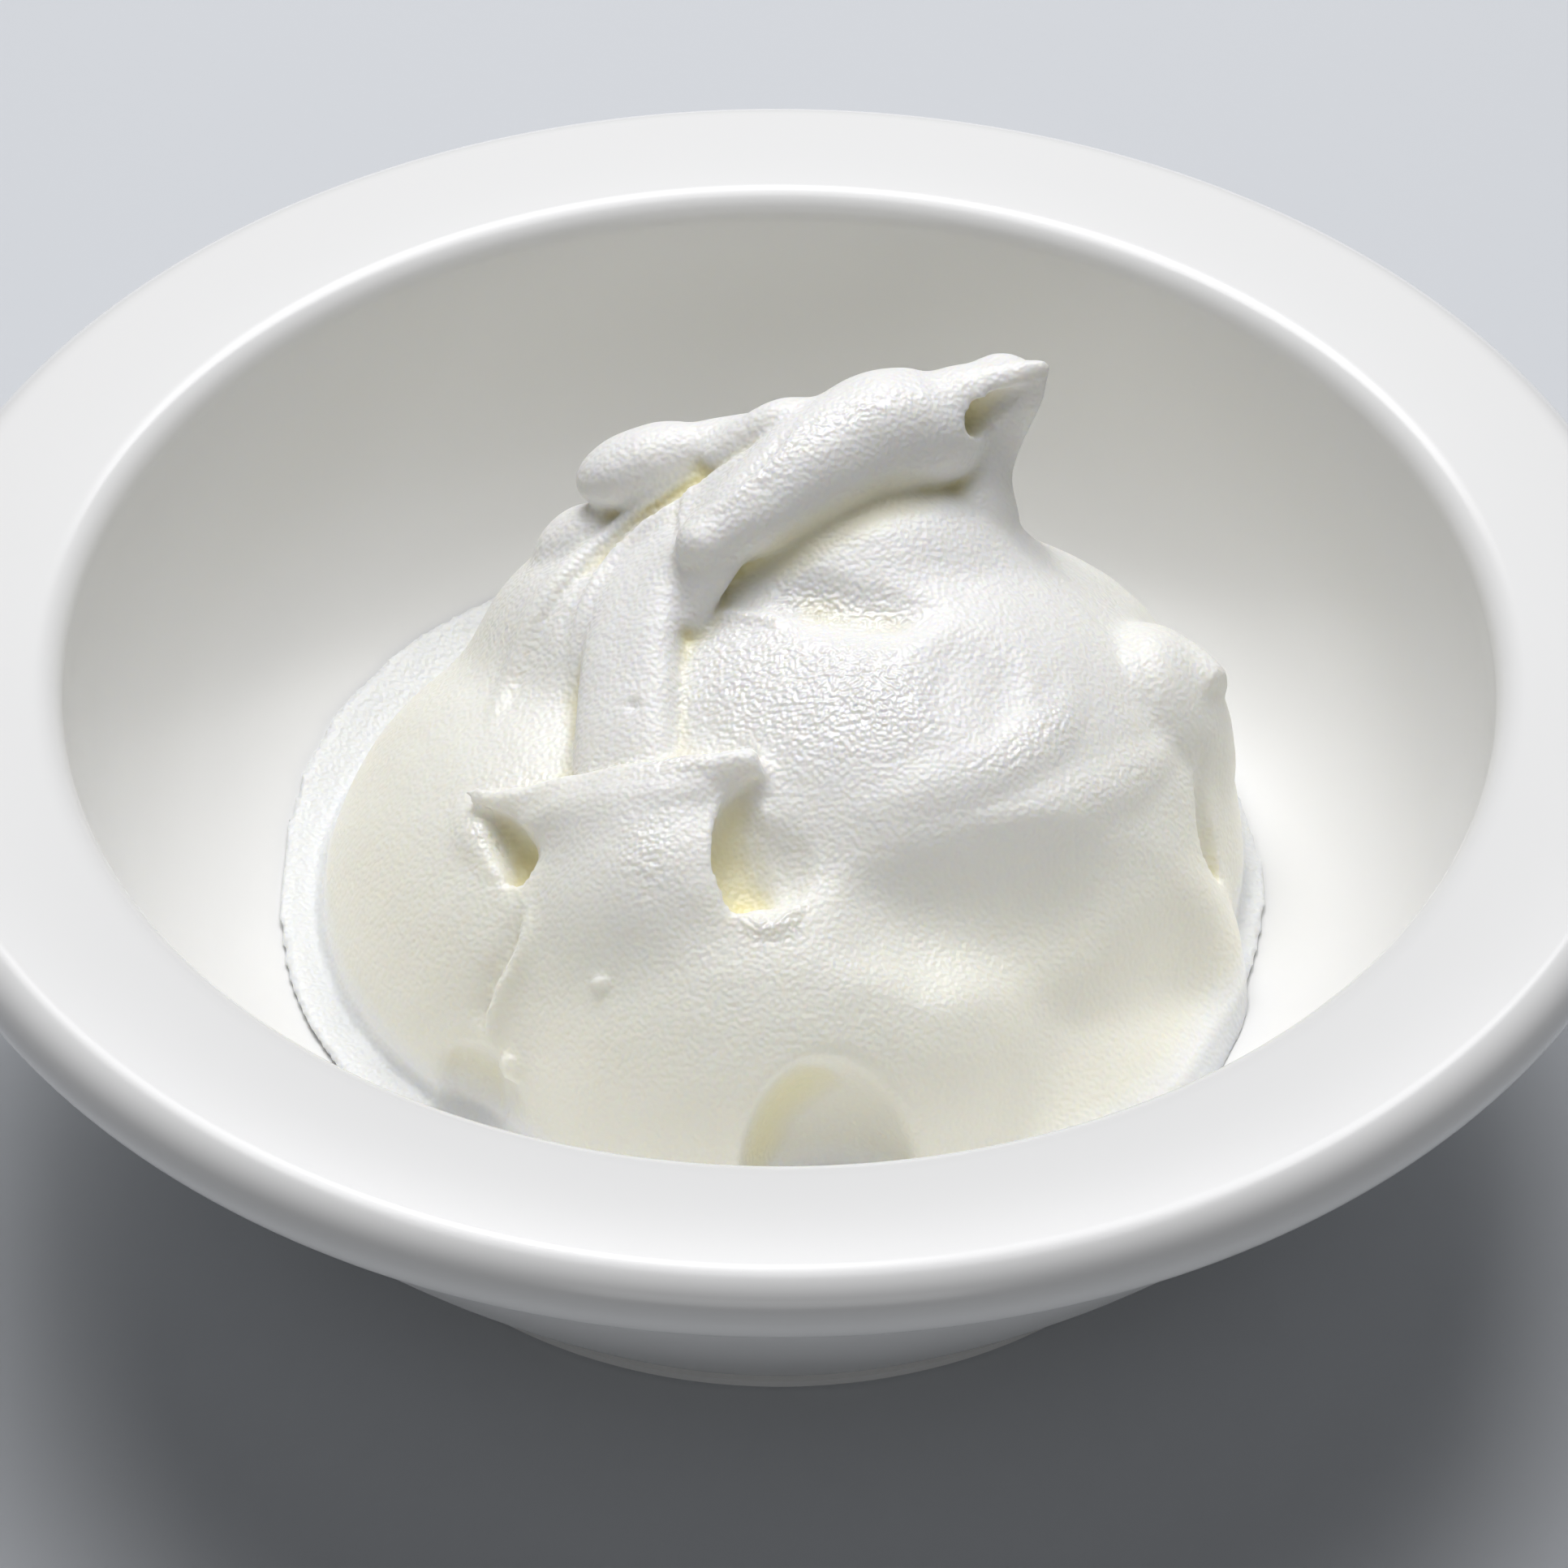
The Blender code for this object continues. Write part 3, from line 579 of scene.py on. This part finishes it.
@dataclass
class Dollop:
    """The cream: masses blended into a mound, with folds, hollows and the strokes that the spoon left."""

    bowl: Bowl
    finish: CulturedCream = field(default_factory=CulturedCream)
    gap: float = 0.1 * MM
    press_height: float = 45.0 * MM
    press_steps: int = 24
    puddle_radius: float = 37.5 * MM
    puddle_centre: tuple[float, float] = (-0.9 * MM, 3.4 * MM)
    puddle_rise: float = 0.5 * MM
    puddle_thickness: float = 1.0 * MM
    puddle_fullness: float = 0.15
    puddle_waver: float = 0.3 * MM
    puddle_waves: tuple[Triple, ...] = ((3.0, 1.0, 1.0), (7.0, 2.0, 0.6))
    wave_length: float = 7.0 * MM
    wave_height: float = 0.16 * MM
    ripple_share: float = 0.4
    ripple_ratio: float = 2.7
    mass_voxel: float = 1.0 * MM
    mass_smoothing: int = 16
    cutter_voxel: float = 0.45 * MM
    voxel: float = 0.4 * MM
    fold_smoothing: int = 2
    edge_smoothing: int = 3
    softening: int = 110
    levelling: int = 240
    hollow_from: float = 0.12 * MM
    hollow_to: float = 1.2 * MM
    skin_tone: float = 0.1
    # Painted shade lower on the mound: how far the colour turns towards ivory below ivory_below.
    painted_low_shade: float = 0.24
    thin_depth: float = 1.8 * MM
    thin_fade: float = 3.0 * MM
    ivory_below: float = 22.0 * MM
    fresh_above: float = 37.0 * MM
    patch_end: float = 0.3
    striation_shares: tuple[float, ...] = (0.2, 0.4, 0.58, 0.76)
    triangles: int = 190000

    masses: tuple[Lobe | Roll, ...] = (
        Lobe((7.0, 6.5, 13.5), (28.5, 28.0, 25.5)),
        Lobe((16.0, 14.0, 17.0), (16.0, 15.0, 18.0)),
        Lobe((0.5, -11.0, 10.5), (23.0, 22.0, 20.5)),
        Lobe((-13.5, 2.5, 10.5), (21.4, 25.6, 20.5)),
        Lobe((-10.0, 14.0, 18.0), (15.0, 16.0, 19.0)),
        Lobe((-1.0, 18.5, 28.0), (16.0, 9.0, 14.0), (0, 0, 18)),
        Lobe((15.5, -9.5, 6.5), (21.0, 21.5, 13.5), (0, 0, -20)),
        Lobe((-6.5, -9.0, 17.0), (14.0, 14.0, 17.5)),
        Lobe((7.0, 14.5, 31.0), (13.5, 9.5, 10.5), (0, 0, 20)),
        Roll(((27.6, -5.4, 24.6, 1.6), (29.6, -5.6, 20.5, 3.0), (31.2, -6.2, 16.0, 3.6),
              (31.6, -10.0, 12.5, 3.4), (29.0, -17.0, 11.5, 3.0))),
    )

    def folds(self) -> list[Lobe | Roll]:
        """The lumps, rolls and ribbons that lie on the mound."""
        wing = [
            Lobe((27.0, 8.0, 20.5), (7.5, 9.0, 13.0)),
            Roll(((26.8, 11.4, 28.4, 3.2), (29.8, 8.8, 29.2, 3.0), (32.4, 6.8, 29.2, 2.1))),
        ]
        curl = [
            Lobe((-5.5, 10.2, 41.0), (2.3, 2.3, 2.3)),
            Roll(((-5.5, 10.2, 41.0, 2.2), (-2.5, 12.6, 41.7, 3.2), (2.7, 17.0, 42.6, 4.4),
                  (7.6, 20.4, 43.1, 5.0), (11.6, 21.4, 43.6, 4.5), (14.4, 22.3, 45.2, 2.9),
                  (17.2, 22.6, 46.9, 1.5), (20.0, 22.8, 48.2, 0.45))),
            Roll(((19.6, 22.7, 47.7, 0.6), (18.2, 22.6, 45.2, 1.5), (16.7, 22.2, 42.2, 1.7),
                  (15.4, 20.8, 39.8, 2.0), (14.6, 19.0, 37.0, 3.4), (14.2, 17.4, 34.0, 4.4))),
            Lobe((16.4, 24.2, 44.6), (3.2, 1.5, 3.4), (0, 12, 0)),
            Roll(((-4.6, 10.4, 40.4, 2.2), (-5.4, 8.8, 39.0, 1.7), (-6.0, 7.2, 37.6, 1.1),
                  (-6.4, 5.8, 36.6, 0.5))),
        ]
        crest = [
            Lobe((-10.2, 20.5, 40.2), (5.4, 3.1, 2.7), (0, -18, 10)),
            Roll(((-9.0, 20.8, 39.8, 2.6), (-4.5, 21.2, 41.2, 2.3), (0.4, 21.0, 42.4, 2.2))),
            Roll(((-5.2, 18.6, 41.6, 1.2), (-2.6, 19.6, 43.4, 1.5), (0.0, 20.2, 44.7, 1.6),
                  (2.6, 20.6, 44.6, 1.6))),
            Lobe((-14.6, 18.6, 33.0), (4.6, 3.6, 3.6), (0, -40, 0)),
        ]
        ribbon = [
            Roll(((0.8, 19.0, 44.6, 1.2), (-2.8, 16.8, 42.8, 2.0), (-6.2, 14.0, 40.0, 2.6),
                  (-9.2, 11.0, 37.6, 3.2), (-10.8, 6.5, 35.6, 3.8), (-11.2, 1.5, 33.8, 4.0),
                  (-11.2, -3.5, 32.0, 4.0), (-11.0, -8.5, 29.5, 3.8)), 0.42, 25.0),
        ]
        front = [
            Roll(((-18.6, -6.6, 28.6, 1.6), (-15.4, -7.2, 29.4, 2.8), (-11.4, -8.2, 31.0, 3.1),
                  (-7.4, -8.6, 32.6, 2.8), (-4.6, -8.4, 33.6, 2.0))),
            Roll(((-23.0, -4.2, 29.6, 0.4), (-19.6, -6.0, 29.4, 1.7), (-15.0, -7.0, 30.6, 2.4),
                  (-10.8, -8.0, 32.2, 2.8), (-6.0, -8.4, 33.8, 2.6), (-1.2, -7.8, 35.4, 1.7)), 0.42, 60.0),
        ]
        return [*wing, *curl, *crest, *ribbon, *front]

    def hollows(self) -> list[Lobe | Roll]:
        """The hollows that the spoon left."""
        front = Lobe((3.9, -33.2, 16.5), (6.8, 9.0, 12.4), (0, -8, 0))
        corner = Lobe((-23.2, -22.2, 15.8), (4.6, 4.4, 4.6))
        hood = Roll(((13.2, 19.4, 44.6, 0.8), (14.6, 20.1, 45.0, 1.6), (16.4, 20.8, 45.9, 1.2),
                     (18.4, 21.6, 47.0, 0.4)))
        teardrop = [
            Roll(((-1.4, -8.6, 35.2, 0.7), (-2.8, -10.8, 33.2, 1.6), (-3.0, -13.4, 31.4, 2.3),
                  (-2.0, -15.8, 30.0, 2.2), (-1.4, -16.8, 29.9, 1.6))),
            Lobe((-0.5, -14.0, 32.4), (3.8, 3.9, 2.3), (42, 0, 0)),
        ]
        pocket = Roll(((-21.9, -5.4, 28.9, 0.6), (-20.2, -7.4, 28.3, 1.7), (-18.9, -9.2, 27.3, 1.8),
                       (-18.4, -10.8, 26.0, 1.0)))
        undercut = Roll(((-18.8, -11.4, 25.4, 0.8), (-19.1, -13.5, 23.9, 1.2), (-19.9, -15.2, 22.3, 1.1),
                         (-21.0, -16.5, 20.6, 0.4)))
        recess = Roll(((31.9, 3.0, 28.0, 0.8), (31.9, 0.2, 25.4, 1.3), (31.8, -2.0, 22.6, 1.3),
                       (32.2, -3.4, 19.6, 0.8)))
        return [front, corner, hood, *teardrop, pocket, undercut, recess]

    def softenings(self) -> list[Stroke]:
        """Where folds and hollows blend softly into the mound. Height is how fully the skin is softened."""
        return [
            Stroke(((-18.2, -8.6, 28.6), (-15.0, -9.8, 29.6), (-11.2, -11.0, 31.0), (-6.5, -11.4, 32.4)),
                   3.4, 1.0),
            Stroke(((2.6, -16.0, 30.6), (2.2, -13.4, 31.6), (1.0, -11.0, 32.8), (-0.2, -9.0, 34.2)),
                   2.2, 1.0),
            Stroke(((3.4, -26.4, 23.6), (6.0, -26.6, 21.5), (8.4, -27.6, 18.5), (10.4, -29.0, 15.0)),
                   5.0, 1.0),
            Stroke(((-20.0, -20.6, 15.5), (-18.6, -22.6, 13.8)), 2.0, 1.0),
            Stroke(((8.0, -12.6, 32.0), (12.0, -12.8, 31.4), (16.0, -12.6, 30.4)), 4.5, 1.0),
        ]

    def strokes(self) -> list[Stroke]:
        """The ridges, grooves and edges in the skin."""
        ribbon_edge = ((1.0, 19.4, 45.4), (-2.2, 17.6, 44.0), (-6.0, 17.0, 41.2), (-9.1, 15.9, 39.5),
                       (-12.0, 15.1, 37.4), (-14.6, 10.8, 35.4), (-15.6, 5.9, 32.5), (-15.5, -1.5, 29.7))
        strip_edge = ((-3.2, 18.6, 42.6), (-8.6, 17.6, 39.6), (-12.6, 16.4, 37.0), (-15.8, 14.0, 35.0),
                      (-18.4, 10.8, 32.4), (-20.0, 8.0, 30.6), (-20.9, 4.8, 28.9), (-20.9, 1.0, 28.4))
        striations = [
            Stroke(between(ribbon_edge, strip_edge, share), 0.75, -0.3, Profile.CREASE)
            for share in self.striation_shares]
        curl = [
            Stroke(ribbon_edge, 2.2, 0.4, Profile.STEP),
            Stroke(strip_edge, 1.6, 0.5),
            Stroke(((1.6, 18.3, 46.6), (1.0, 16.7, 46.5), (-0.9, 14.0, 45.6), (-3.8, 11.9, 44.0),
                    (-6.2, 11.4, 42.0), (-7.2, 10.2, 41.3)), 1.6, 0.35, Profile.STEP),
            Stroke(((-3.0, 17.8, 43.6), (-6.3, 17.4, 41.0), (-7.3, 15.9, 40.5), (-7.6, 13.5, 40.3),
                    (-7.5, 9.9, 41.1)), 1.6, 0.3, Profile.STEP),
        ]
        plateau = [
            Stroke(((-1.6, 7.8, 38.2), (1.8, 6.6, 38.4), (5.5, 5.2, 38.2), (9.2, 5.1, 38.2),
                    (13.4, 6.6, 38.8)), 3.6, -1.1),
            Stroke(((-5.4, 7.6, 36.6), (-3.3, 6.7, 37.2), (-0.4, 5.2, 37.8), (3.0, 4.0, 37.6)),
                   1.1, 0.45, Profile.CREASE),
            Stroke(((9.0, 0.6, 37.4), (14.2, -0.5, 36.4), (18.6, -1.4, 35.4)), 5.5, -0.55),
            Stroke(((21.8, 3.8, 35.2), (21.4, -0.4, 35.0), (19.0, -4.2, 34.9), (16.4, -6.6, 34.9),
                    (12.9, -8.3, 34.9), (8.8, -10.0, 34.3), (3.5, -10.9, 33.1)), 3.0, 0.4),
        ]
        right = [
            Stroke(((30.6, 3.4, 28.8), (27.8, -1.3, 30.2), (25.0, -4.7, 31.0), (22.2, -7.1, 31.6),
                    (18.0, -9.2, 32.2), (12.0, -11.0, 32.4)), 3.0, 0.55),
            Stroke(((2.0, -20.0, 28.0), (8.0, -17.6, 28.4), (13.8, -15.6, 28.4), (20.5, -12.6, 27.2),
                    (28.5, -7.0, 25.6)), 7.0, -1.4),
            Stroke(((5.9, -24.0, 24.0), (14.1, -21.6, 22.0), (21.9, -17.0, 19.5), (29.5, -11.0, 17.5)),
                   7.0, 0.6),
            Stroke(((16.5, 17.0, 38.5), (22.5, 13.0, 36.0), (26.0, 8.5, 34.0), (27.4, 4.5, 32.6),
                    (26.8, 1.0, 31.5)), 1.0, -0.2, Profile.CREASE),
        ]
        left = [
            Stroke(((-23.6, -2.4, 27.6), (-22.2, -6.4, 27.0), (-20.8, -9.0, 25.6), (-19.8, -11.5, 24.6)),
                   2.2, 0.5),
            Stroke(((-17.8, -11.0, 26.0), (-18.0, -13.3, 24.6), (-19.0, -15.1, 22.8), (-20.2, -16.4, 20.8),
                    (-20.8, -17.6, 19.2), (-20.8, -19.0, 18.0)), 2.4, 0.8, Profile.STEP),
            Stroke(((-3.4, -17.2, 29.4), (-1.2, -18.4, 29.4), (0.6, -18.0, 29.8), (2.2, -15.6, 30.8)),
                   1.0, 0.35),
            Stroke(((-10.6, -0.6, 34.4), (-10.4, -0.7, 34.4)), 0.5, -0.4),
            Stroke(((-20.6, -20.4, 18.6), (-19.5, -20.8, 17.4), (-19.0, -21.0, 16.2)), 1.3, 0.8),
            Stroke(((-12.9, -19.9, 25.4), (-12.5, -19.9, 25.4)), 0.75, 0.5),
        ]
        return [*curl, *striations, *plateau, *right, *left]

    def painted_shade_patches(self) -> list[Stroke]:
        """Painted shade: yellow patches in the hollows and under the curl and the crest. Height is how yellow
        the patch is.
        """
        return [
            Stroke(((4.4, -26.6, 22.0), (2.6, -28.0, 19.6), (1.8, -29.4, 16.8), (2.2, -30.4, 14.0)),
                   6.0, 0.75),
            Stroke(((-4.4, 9.0, 39.0), (-1.0, 10.6, 39.6), (4.0, 14.4, 39.8), (9.0, 17.0, 40.2),
                    (13.0, 18.4, 40.6)), 3.6, 0.55),
            Stroke(((-3.0, -14.0, 30.0), (-2.2, -15.6, 29.2), (-1.2, -16.6, 29.2)), 2.6, 1.0),
            Stroke(((-24.7, -18.3, 16.3), (-22.8, -19.6, 15.8), (-21.0, -20.4, 15.4)), 3.4, 0.45),
            Stroke(((-13.0, 20.0, 37.0), (-8.0, 20.0, 37.6), (-4.0, 20.6, 39.6)), 2.4, 0.45),
        ]

    def wet_patches(self) -> list[Stroke]:
        """Where whey glistens on the skin. Height is how wet the patch is."""
        return [
            Stroke(((-7.4, 4.6, 35.9), (-5.4, 3.9, 36.3), (-0.6, -1.2, 36.9), (4.7, -2.0, 37.6),
                    (10.0, -3.2, 37.2), (12.0, -3.6, 37.0)), 8.0, 1.0),
            Stroke(((-3.6, 8.3, 37.2), (1.7, 7.3, 37.7), (7.1, 6.1, 37.6), (11.3, 5.5, 38.1)), 3.0, 0.8),
            Stroke(((-22.4, -4.1, 29.4), (-21.5, -6.4, 28.7), (-20.7, -7.3, 26.8), (-19.8, -8.6, 25.3)),
                   2.0, 1.0),
            Stroke(((-21.4, -3.1, 29.3), (-14.1, -4.7, 32.1), (-7.0, -7.2, 35.6), (-1.2, -5.1, 35.5)),
                   2.0, 0.8),
            Stroke(((-11.6, -14.5, 31.6), (-9.8, -14.5, 32.4), (-7.5, -15.3, 32.4)), 5.0, 0.8),
            Stroke(((22.0, 2.2, 35.1), (19.0, -4.2, 34.9), (12.9, -8.3, 34.9)), 2.6, 0.8),
            Stroke(((28.7, 1.1, 29.8), (25.0, -4.7, 31.2), (19.3, -8.9, 32.4)), 2.6, 0.7),
            Stroke(((-3.4, -17.4, 29.4), (-1.2, -18.8, 29.6), (0.8, -18.2, 29.8), (2.4, -15.6, 30.8)),
                   1.4, 1.0),
            Stroke(((-4.8, 9.6, 43.2), (-1.3, 13.4, 45.4), (2.3, 16.4, 46.9), (7.1, 18.3, 47.7),
                    (11.3, 19.6, 47.4)), 2.0, 0.6),
        ]

    def puddle(self) -> bpy.types.Object:
        """The thin edge of the cream, lying on the well."""
        deselect_all()
        bpy.ops.mesh.primitive_uv_sphere_add(segments=128, ring_count=64, radius=1.0)
        obj = bpy.context.object
        places = read_vertices(obj.data, "co")
        spread = np.hypot(places[:, 0], places[:, 1])
        angle = np.arctan2(places[:, 1], places[:, 0])
        radius = self.puddle_radius - self.puddle_thickness
        radius += self.puddle_waver * sum(
            share * np.sin(count * angle + start) for count, start, share in self.puddle_waves)
        reach = radius * spread ** self.puddle_fullness + self.puddle_thickness * spread
        places[:, 0] = self.puddle_centre[0] + reach * np.cos(angle)
        places[:, 1] = self.puddle_centre[1] + reach * np.sin(angle)
        floor = self.bowl.well_height(np.hypot(places[:, 0], places[:, 1]))
        places[:, 2] = floor + self.puddle_rise + self.puddle_thickness * places[:, 2]
        write_vertices(obj.data, places)
        return obj

    def join(self, objects: list[bpy.types.Object]) -> bpy.types.Object:
        """Join several objects into the first of them."""
        pick(*objects)
        bpy.ops.object.join()
        return bpy.context.object

    def fuse(self, obj: bpy.types.Object, voxel: float, smoothing: int) -> None:
        """Fuse overlapping bodies into one skin and soften it.

        Args:
            obj: The object that holds them.
            voxel: The size of the skin's cells.
            smoothing: How many times the skin is softened.
        """
        apply_modifier(obj, "REMESH", mode="VOXEL", voxel_size=voxel, adaptivity=0.0)
        apply_modifier(obj, "SMOOTH", factor=0.5, iterations=smoothing)

    def scoop(self, obj: bpy.types.Object) -> None:
        """Take the spoon's hollows out of the body."""
        tool = self.join([hollow.build() for hollow in self.hollows()])
        self.fuse(tool, self.cutter_voxel, 1)
        apply_modifier(obj, "BOOLEAN", operation="DIFFERENCE", solver="MANIFOLD", object=tool)
        bpy.data.objects.remove(tool)

    def draw(self, mesh: bpy.types.Mesh, stroke: Stroke) -> None:
        """Raise or lower the skin along a path, fading out to its sides and ends.

        Args:
            mesh: The cream's mesh.
            stroke: What to draw.
        """
        places = read_vertices(mesh, "co")
        normals = read_vertices(mesh, "normal")
        near, share, full, side = stroke.reach(places, normals)
        if stroke.profile is Profile.ROUND:
            amount = (1.0 - share ** 2) ** 2
        elif stroke.profile is Profile.CREASE:
            amount = (1.0 - share) ** 2
        else:
            amount = side * (1.0 - share) ** 2
        places[near] += normals[near] * (amount * full * stroke.height * MM)[:, None]
        write_vertices(mesh, places)

    def soften(self, obj: bpy.types.Object) -> None:
        """Smooth the skin where folds and hollows blend into the mound."""
        places = read_vertices(obj.data, "co")
        normals = read_vertices(obj.data, "normal")
        group = obj.vertex_groups.new(name="soft")
        for stroke in self.softenings():
            near, share, _, _ = stroke.reach(places, normals)
            for index, weight in zip(near.tolist(), ((1.0 - share ** 2) ** 2 * stroke.height).tolist()):
                group.add([index], weight, "REPLACE")
        apply_modifier(obj, "SMOOTH", factor=0.5, iterations=self.softening, vertex_group="soft")
        obj.vertex_groups.clear()

    def undulate(self, mesh: bpy.types.Mesh) -> None:
        """Give the skin the slow, uneven swells of stirred cream."""
        places = read_vertices(mesh, "co")
        normals = read_vertices(mesh, "normal")
        scale = 1.0 / self.wave_length
        spots = [Vector(place) * scale for place in places]
        swell = np.array([noise.noise(spot) + self.ripple_share * noise.noise(spot * self.ripple_ratio)
                          for spot in spots])
        write_vertices(mesh, places + normals * (swell * self.wave_height)[:, None])

    def note(self, mesh: bpy.types.Mesh, name: str, values: np.ndarray) -> None:
        """Write one value from 0 to 1 for each vertex as the mesh's attribute."""
        mesh.attributes.new(name, "FLOAT", "POINT").data.foreach_set("value", values.astype(np.float32))

    def paint_shade_and_wet(self, obj: bpy.types.Object) -> None:
        """Note for the material how far each vertex lies in a hollow, which its colour paints as shade, and
        how wet it is there.
        """
        places = read_vertices(obj.data, "co")
        normals = read_vertices(obj.data, "normal")
        pick(obj)
        bpy.ops.object.duplicate()
        level = bpy.context.object
        apply_modifier(level, "SMOOTH", factor=0.5, iterations=self.levelling)
        sunk = np.einsum("ij,ij->i", read_vertices(level.data, "co") - places, normals)
        bpy.data.objects.remove(level)
        # Painted shade: the deeper the skin lies below its smoothed copy, the more ivory and yellow its
        # colour.
        hollow = np.clip((sunk - self.hollow_from) / (self.hollow_to - self.hollow_from), 0.0, 1.0)
        hollow = hollow * hollow * (3.0 - 2.0 * hollow)
        # Painted shade lower down: the colour turns ivory towards the bottom of the mound. Where the cream is
        # thin over the well, it takes the grey thin colour.
        low = np.clip((self.fresh_above - places[:, 2]) / (self.fresh_above - self.ivory_below), 0.0, 1.0)
        depth = places[:, 2] - self.bowl.well_height(np.hypot(places[:, 0], places[:, 1]))
        thick = np.clip((depth - self.thin_depth) / self.thin_fade, 0.0, 1.0)
        hollow = (self.skin_tone + (1.0 - self.skin_tone) * np.maximum(hollow, self.painted_low_shade * low)) * thick
        wet = np.zeros(len(places))
        # The painted shade patches add yellow. The wet patches add gloss and grain.
        for values, patches in ((hollow, self.painted_shade_patches()), (wet, self.wet_patches())):
            for patch in patches:
                near, share, full, _ = patch.reach(places, normals)
                fade = self.patch_end + (1.0 - self.patch_end) * full
                amount = (1.0 - share ** 2) ** 2 * fade * patch.height
                values[near] = np.maximum(values[near], amount)
        self.note(obj.data, self.finish.hollow, hollow)
        self.note(obj.data, self.finish.wet, wet)

    def clearance(self, places: np.ndarray) -> np.ndarray:
        """How far each place is above the lowest that the cream may reach."""
        return places[:, 2] - self.bowl.well_height(np.hypot(places[:, 0], places[:, 1])) - self.gap

    def press_onto_well(self, mesh: bpy.types.Mesh) -> None:
        """Rest the underside on the well: what is sunk in it slides back towards a point over its middle."""
        places = read_vertices(mesh, "co")
        sunk = self.clearance(places) < 0.0
        start = places[sunk]
        way = np.array((0.0, 0.0, self.press_height)) - start
        low, high = np.zeros(len(start)), np.ones(len(start))
        for _ in range(self.press_steps):
            share = 0.5 * (low + high)
            below = self.clearance(start + way * share[:, None]) < 0.0
            low, high = np.where(below, share, low), np.where(below, high, share)
        places[sunk] = start + way * high[:, None]
        write_vertices(mesh, places)

    def build(self) -> bpy.types.Object:
        """Lay up, fuse, hollow, stroke and press the dollop.

        Returns:
            The cream, in place.
        """
        mound = self.join([mass.build() for mass in self.masses])
        self.fuse(mound, self.mass_voxel, self.mass_smoothing)
        apply_modifier(mound, "SUBSURF", levels=1)
        obj = self.join([mound, self.puddle(), *[fold.build() for fold in self.folds()]])
        obj.name = obj.data.name = "dollop_of_sour_cream"
        self.fuse(obj, self.voxel, self.fold_smoothing)
        self.scoop(obj)
        self.fuse(obj, self.voxel, self.edge_smoothing)
        self.soften(obj)
        self.undulate(obj.data)
        for stroke in self.strokes():
            self.draw(obj.data, stroke)
        self.press_onto_well(obj.data)
        current = sum(len(p.vertices) - 2 for p in obj.data.polygons)
        if current > self.triangles:
            apply_modifier(obj, "DECIMATE", ratio=self.triangles / current)
            self.press_onto_well(obj.data)
        self.paint_shade_and_wet(obj)
        obj.data.materials.clear()
        obj.data.materials.append(self.finish.build())
        obj.data.shade_smooth()
        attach(obj, "root")
        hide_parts("sour_cream")
        LOG.info("%s: %d faces", obj.name, len(obj.data.polygons))
        return obj


@dataclass
class Studio:
    """The pale floor, the soft light from behind and above, and the camera at the photograph's angle."""

    floor_half: float = 2.5
    image_pixels: float = 1932.0
    focal_pixels: float = 7000.0
    sensor: float = 36.0
    aim_mm: Triple = (0.3705, -7.724, 33.641)
    distance_mm: float = 409.8
    elevation: float = 42.74
    roll: float = 0.25
    lit_point: Triple = (0.0, 0.0, 0.03)
    room_colour: str = "E8EAF0"
    room_light: float = 0.03

    def floor(self) -> bpy.types.Object:
        """Lay the floor that the bowl stands on."""
        deselect_all()
        bpy.ops.mesh.primitive_grid_add(x_subdivisions=8, y_subdivisions=8, size=2.0 * self.floor_half)
        obj = bpy.context.object
        obj.name = "studio_floor"
        obj.data.materials.append(PaintedBoard().build())
        return obj

    def lamp(self, name: str, place: Triple, size: tuple[float, float], watts: float, colour: str) -> None:
        """Hang one soft box that faces the cream.

        Args:
            name: The lamp's name.
            place: Its place, in metres.
            size: Its width and height, in metres.
            watts: Its power.
            colour: The colour of its light.
        """
        data = bpy.data.lights.new(name, "AREA")
        data.shape = "RECTANGLE"
        data.size, data.size_y = size
        data.energy = watts
        data.color = linear(colour)[:3]
        obj = bpy.data.objects.new(name, data)
        obj.location = place
        obj.rotation_euler = (Vector(self.lit_point) - Vector(place)).to_track_quat("-Z", "Y").to_euler()
        bpy.context.scene.collection.objects.link(obj)

    def light(self) -> None:
        """Hang the key and a small bright lamp behind, the fill above, and a weak reflector in front."""
        white, daylight = "FFFFFF", "FCFCFF"
        self.lamp("key_softbox", place=(-0.03, 0.37, 0.7), size=(0.7, 0.4), watts=2.4, colour=white)
        self.lamp("sparkle_lamp", place=(-0.06, 0.4, 0.7), size=(0.07, 0.07), watts=0.8, colour=white)
        self.lamp("overhead_softbox", place=(0.0, 0.16, 0.5), size=(0.4, 0.4), watts=1.5, colour=daylight)
        self.lamp("front_reflector", place=(0.0, -0.75, 0.3), size=(0.6, 0.25), watts=0.6, colour=white)
        world = bpy.data.worlds.new("studio_room")
        world.use_nodes = True
        background = world.node_tree.nodes["Background"]
        background.inputs["Color"].default_value = linear(self.room_colour)
        background.inputs["Strength"].default_value = self.room_light
        bpy.context.scene.world = world

    def camera(self) -> None:
        """Set up the camera where the photograph was taken."""
        data = bpy.data.cameras.new("camera")
        data.sensor_width = self.sensor
        data.lens = self.sensor * self.focal_pixels / self.image_pixels
        tilt = math.radians(self.elevation)
        back = Vector((0.0, -math.cos(tilt), math.sin(tilt)))
        right = Vector((1.0, 0.0, 0.0))
        level = Matrix((right, back.cross(right), back)).transposed()
        turn = level @ Matrix.Rotation(math.radians(self.roll), 3, "Z")
        obj = bpy.data.objects.new("camera", data)
        place = (Vector(self.aim_mm) + back * self.distance_mm) * MM
        obj.matrix_world = Matrix.Translation(place) @ turn.to_4x4()
        bpy.context.scene.collection.objects.link(obj)
        bpy.context.scene.camera = obj

    def build(self) -> None:
        """Set up floor, light, camera and colour handling."""
        self.camera()
        self.floor()
        self.light()
        bpy.context.scene.view_settings.view_transform = "Standard"


def main() -> None:
    """Build the bowl, the cream and the studio in order."""
    logging.basicConfig(level=logging.INFO, format="%(name)s: %(message)s")
    bowl = Bowl()
    bowl.build()
    Dollop(bowl).build()
    Studio().build()


if __name__ == "__main__":
    main()
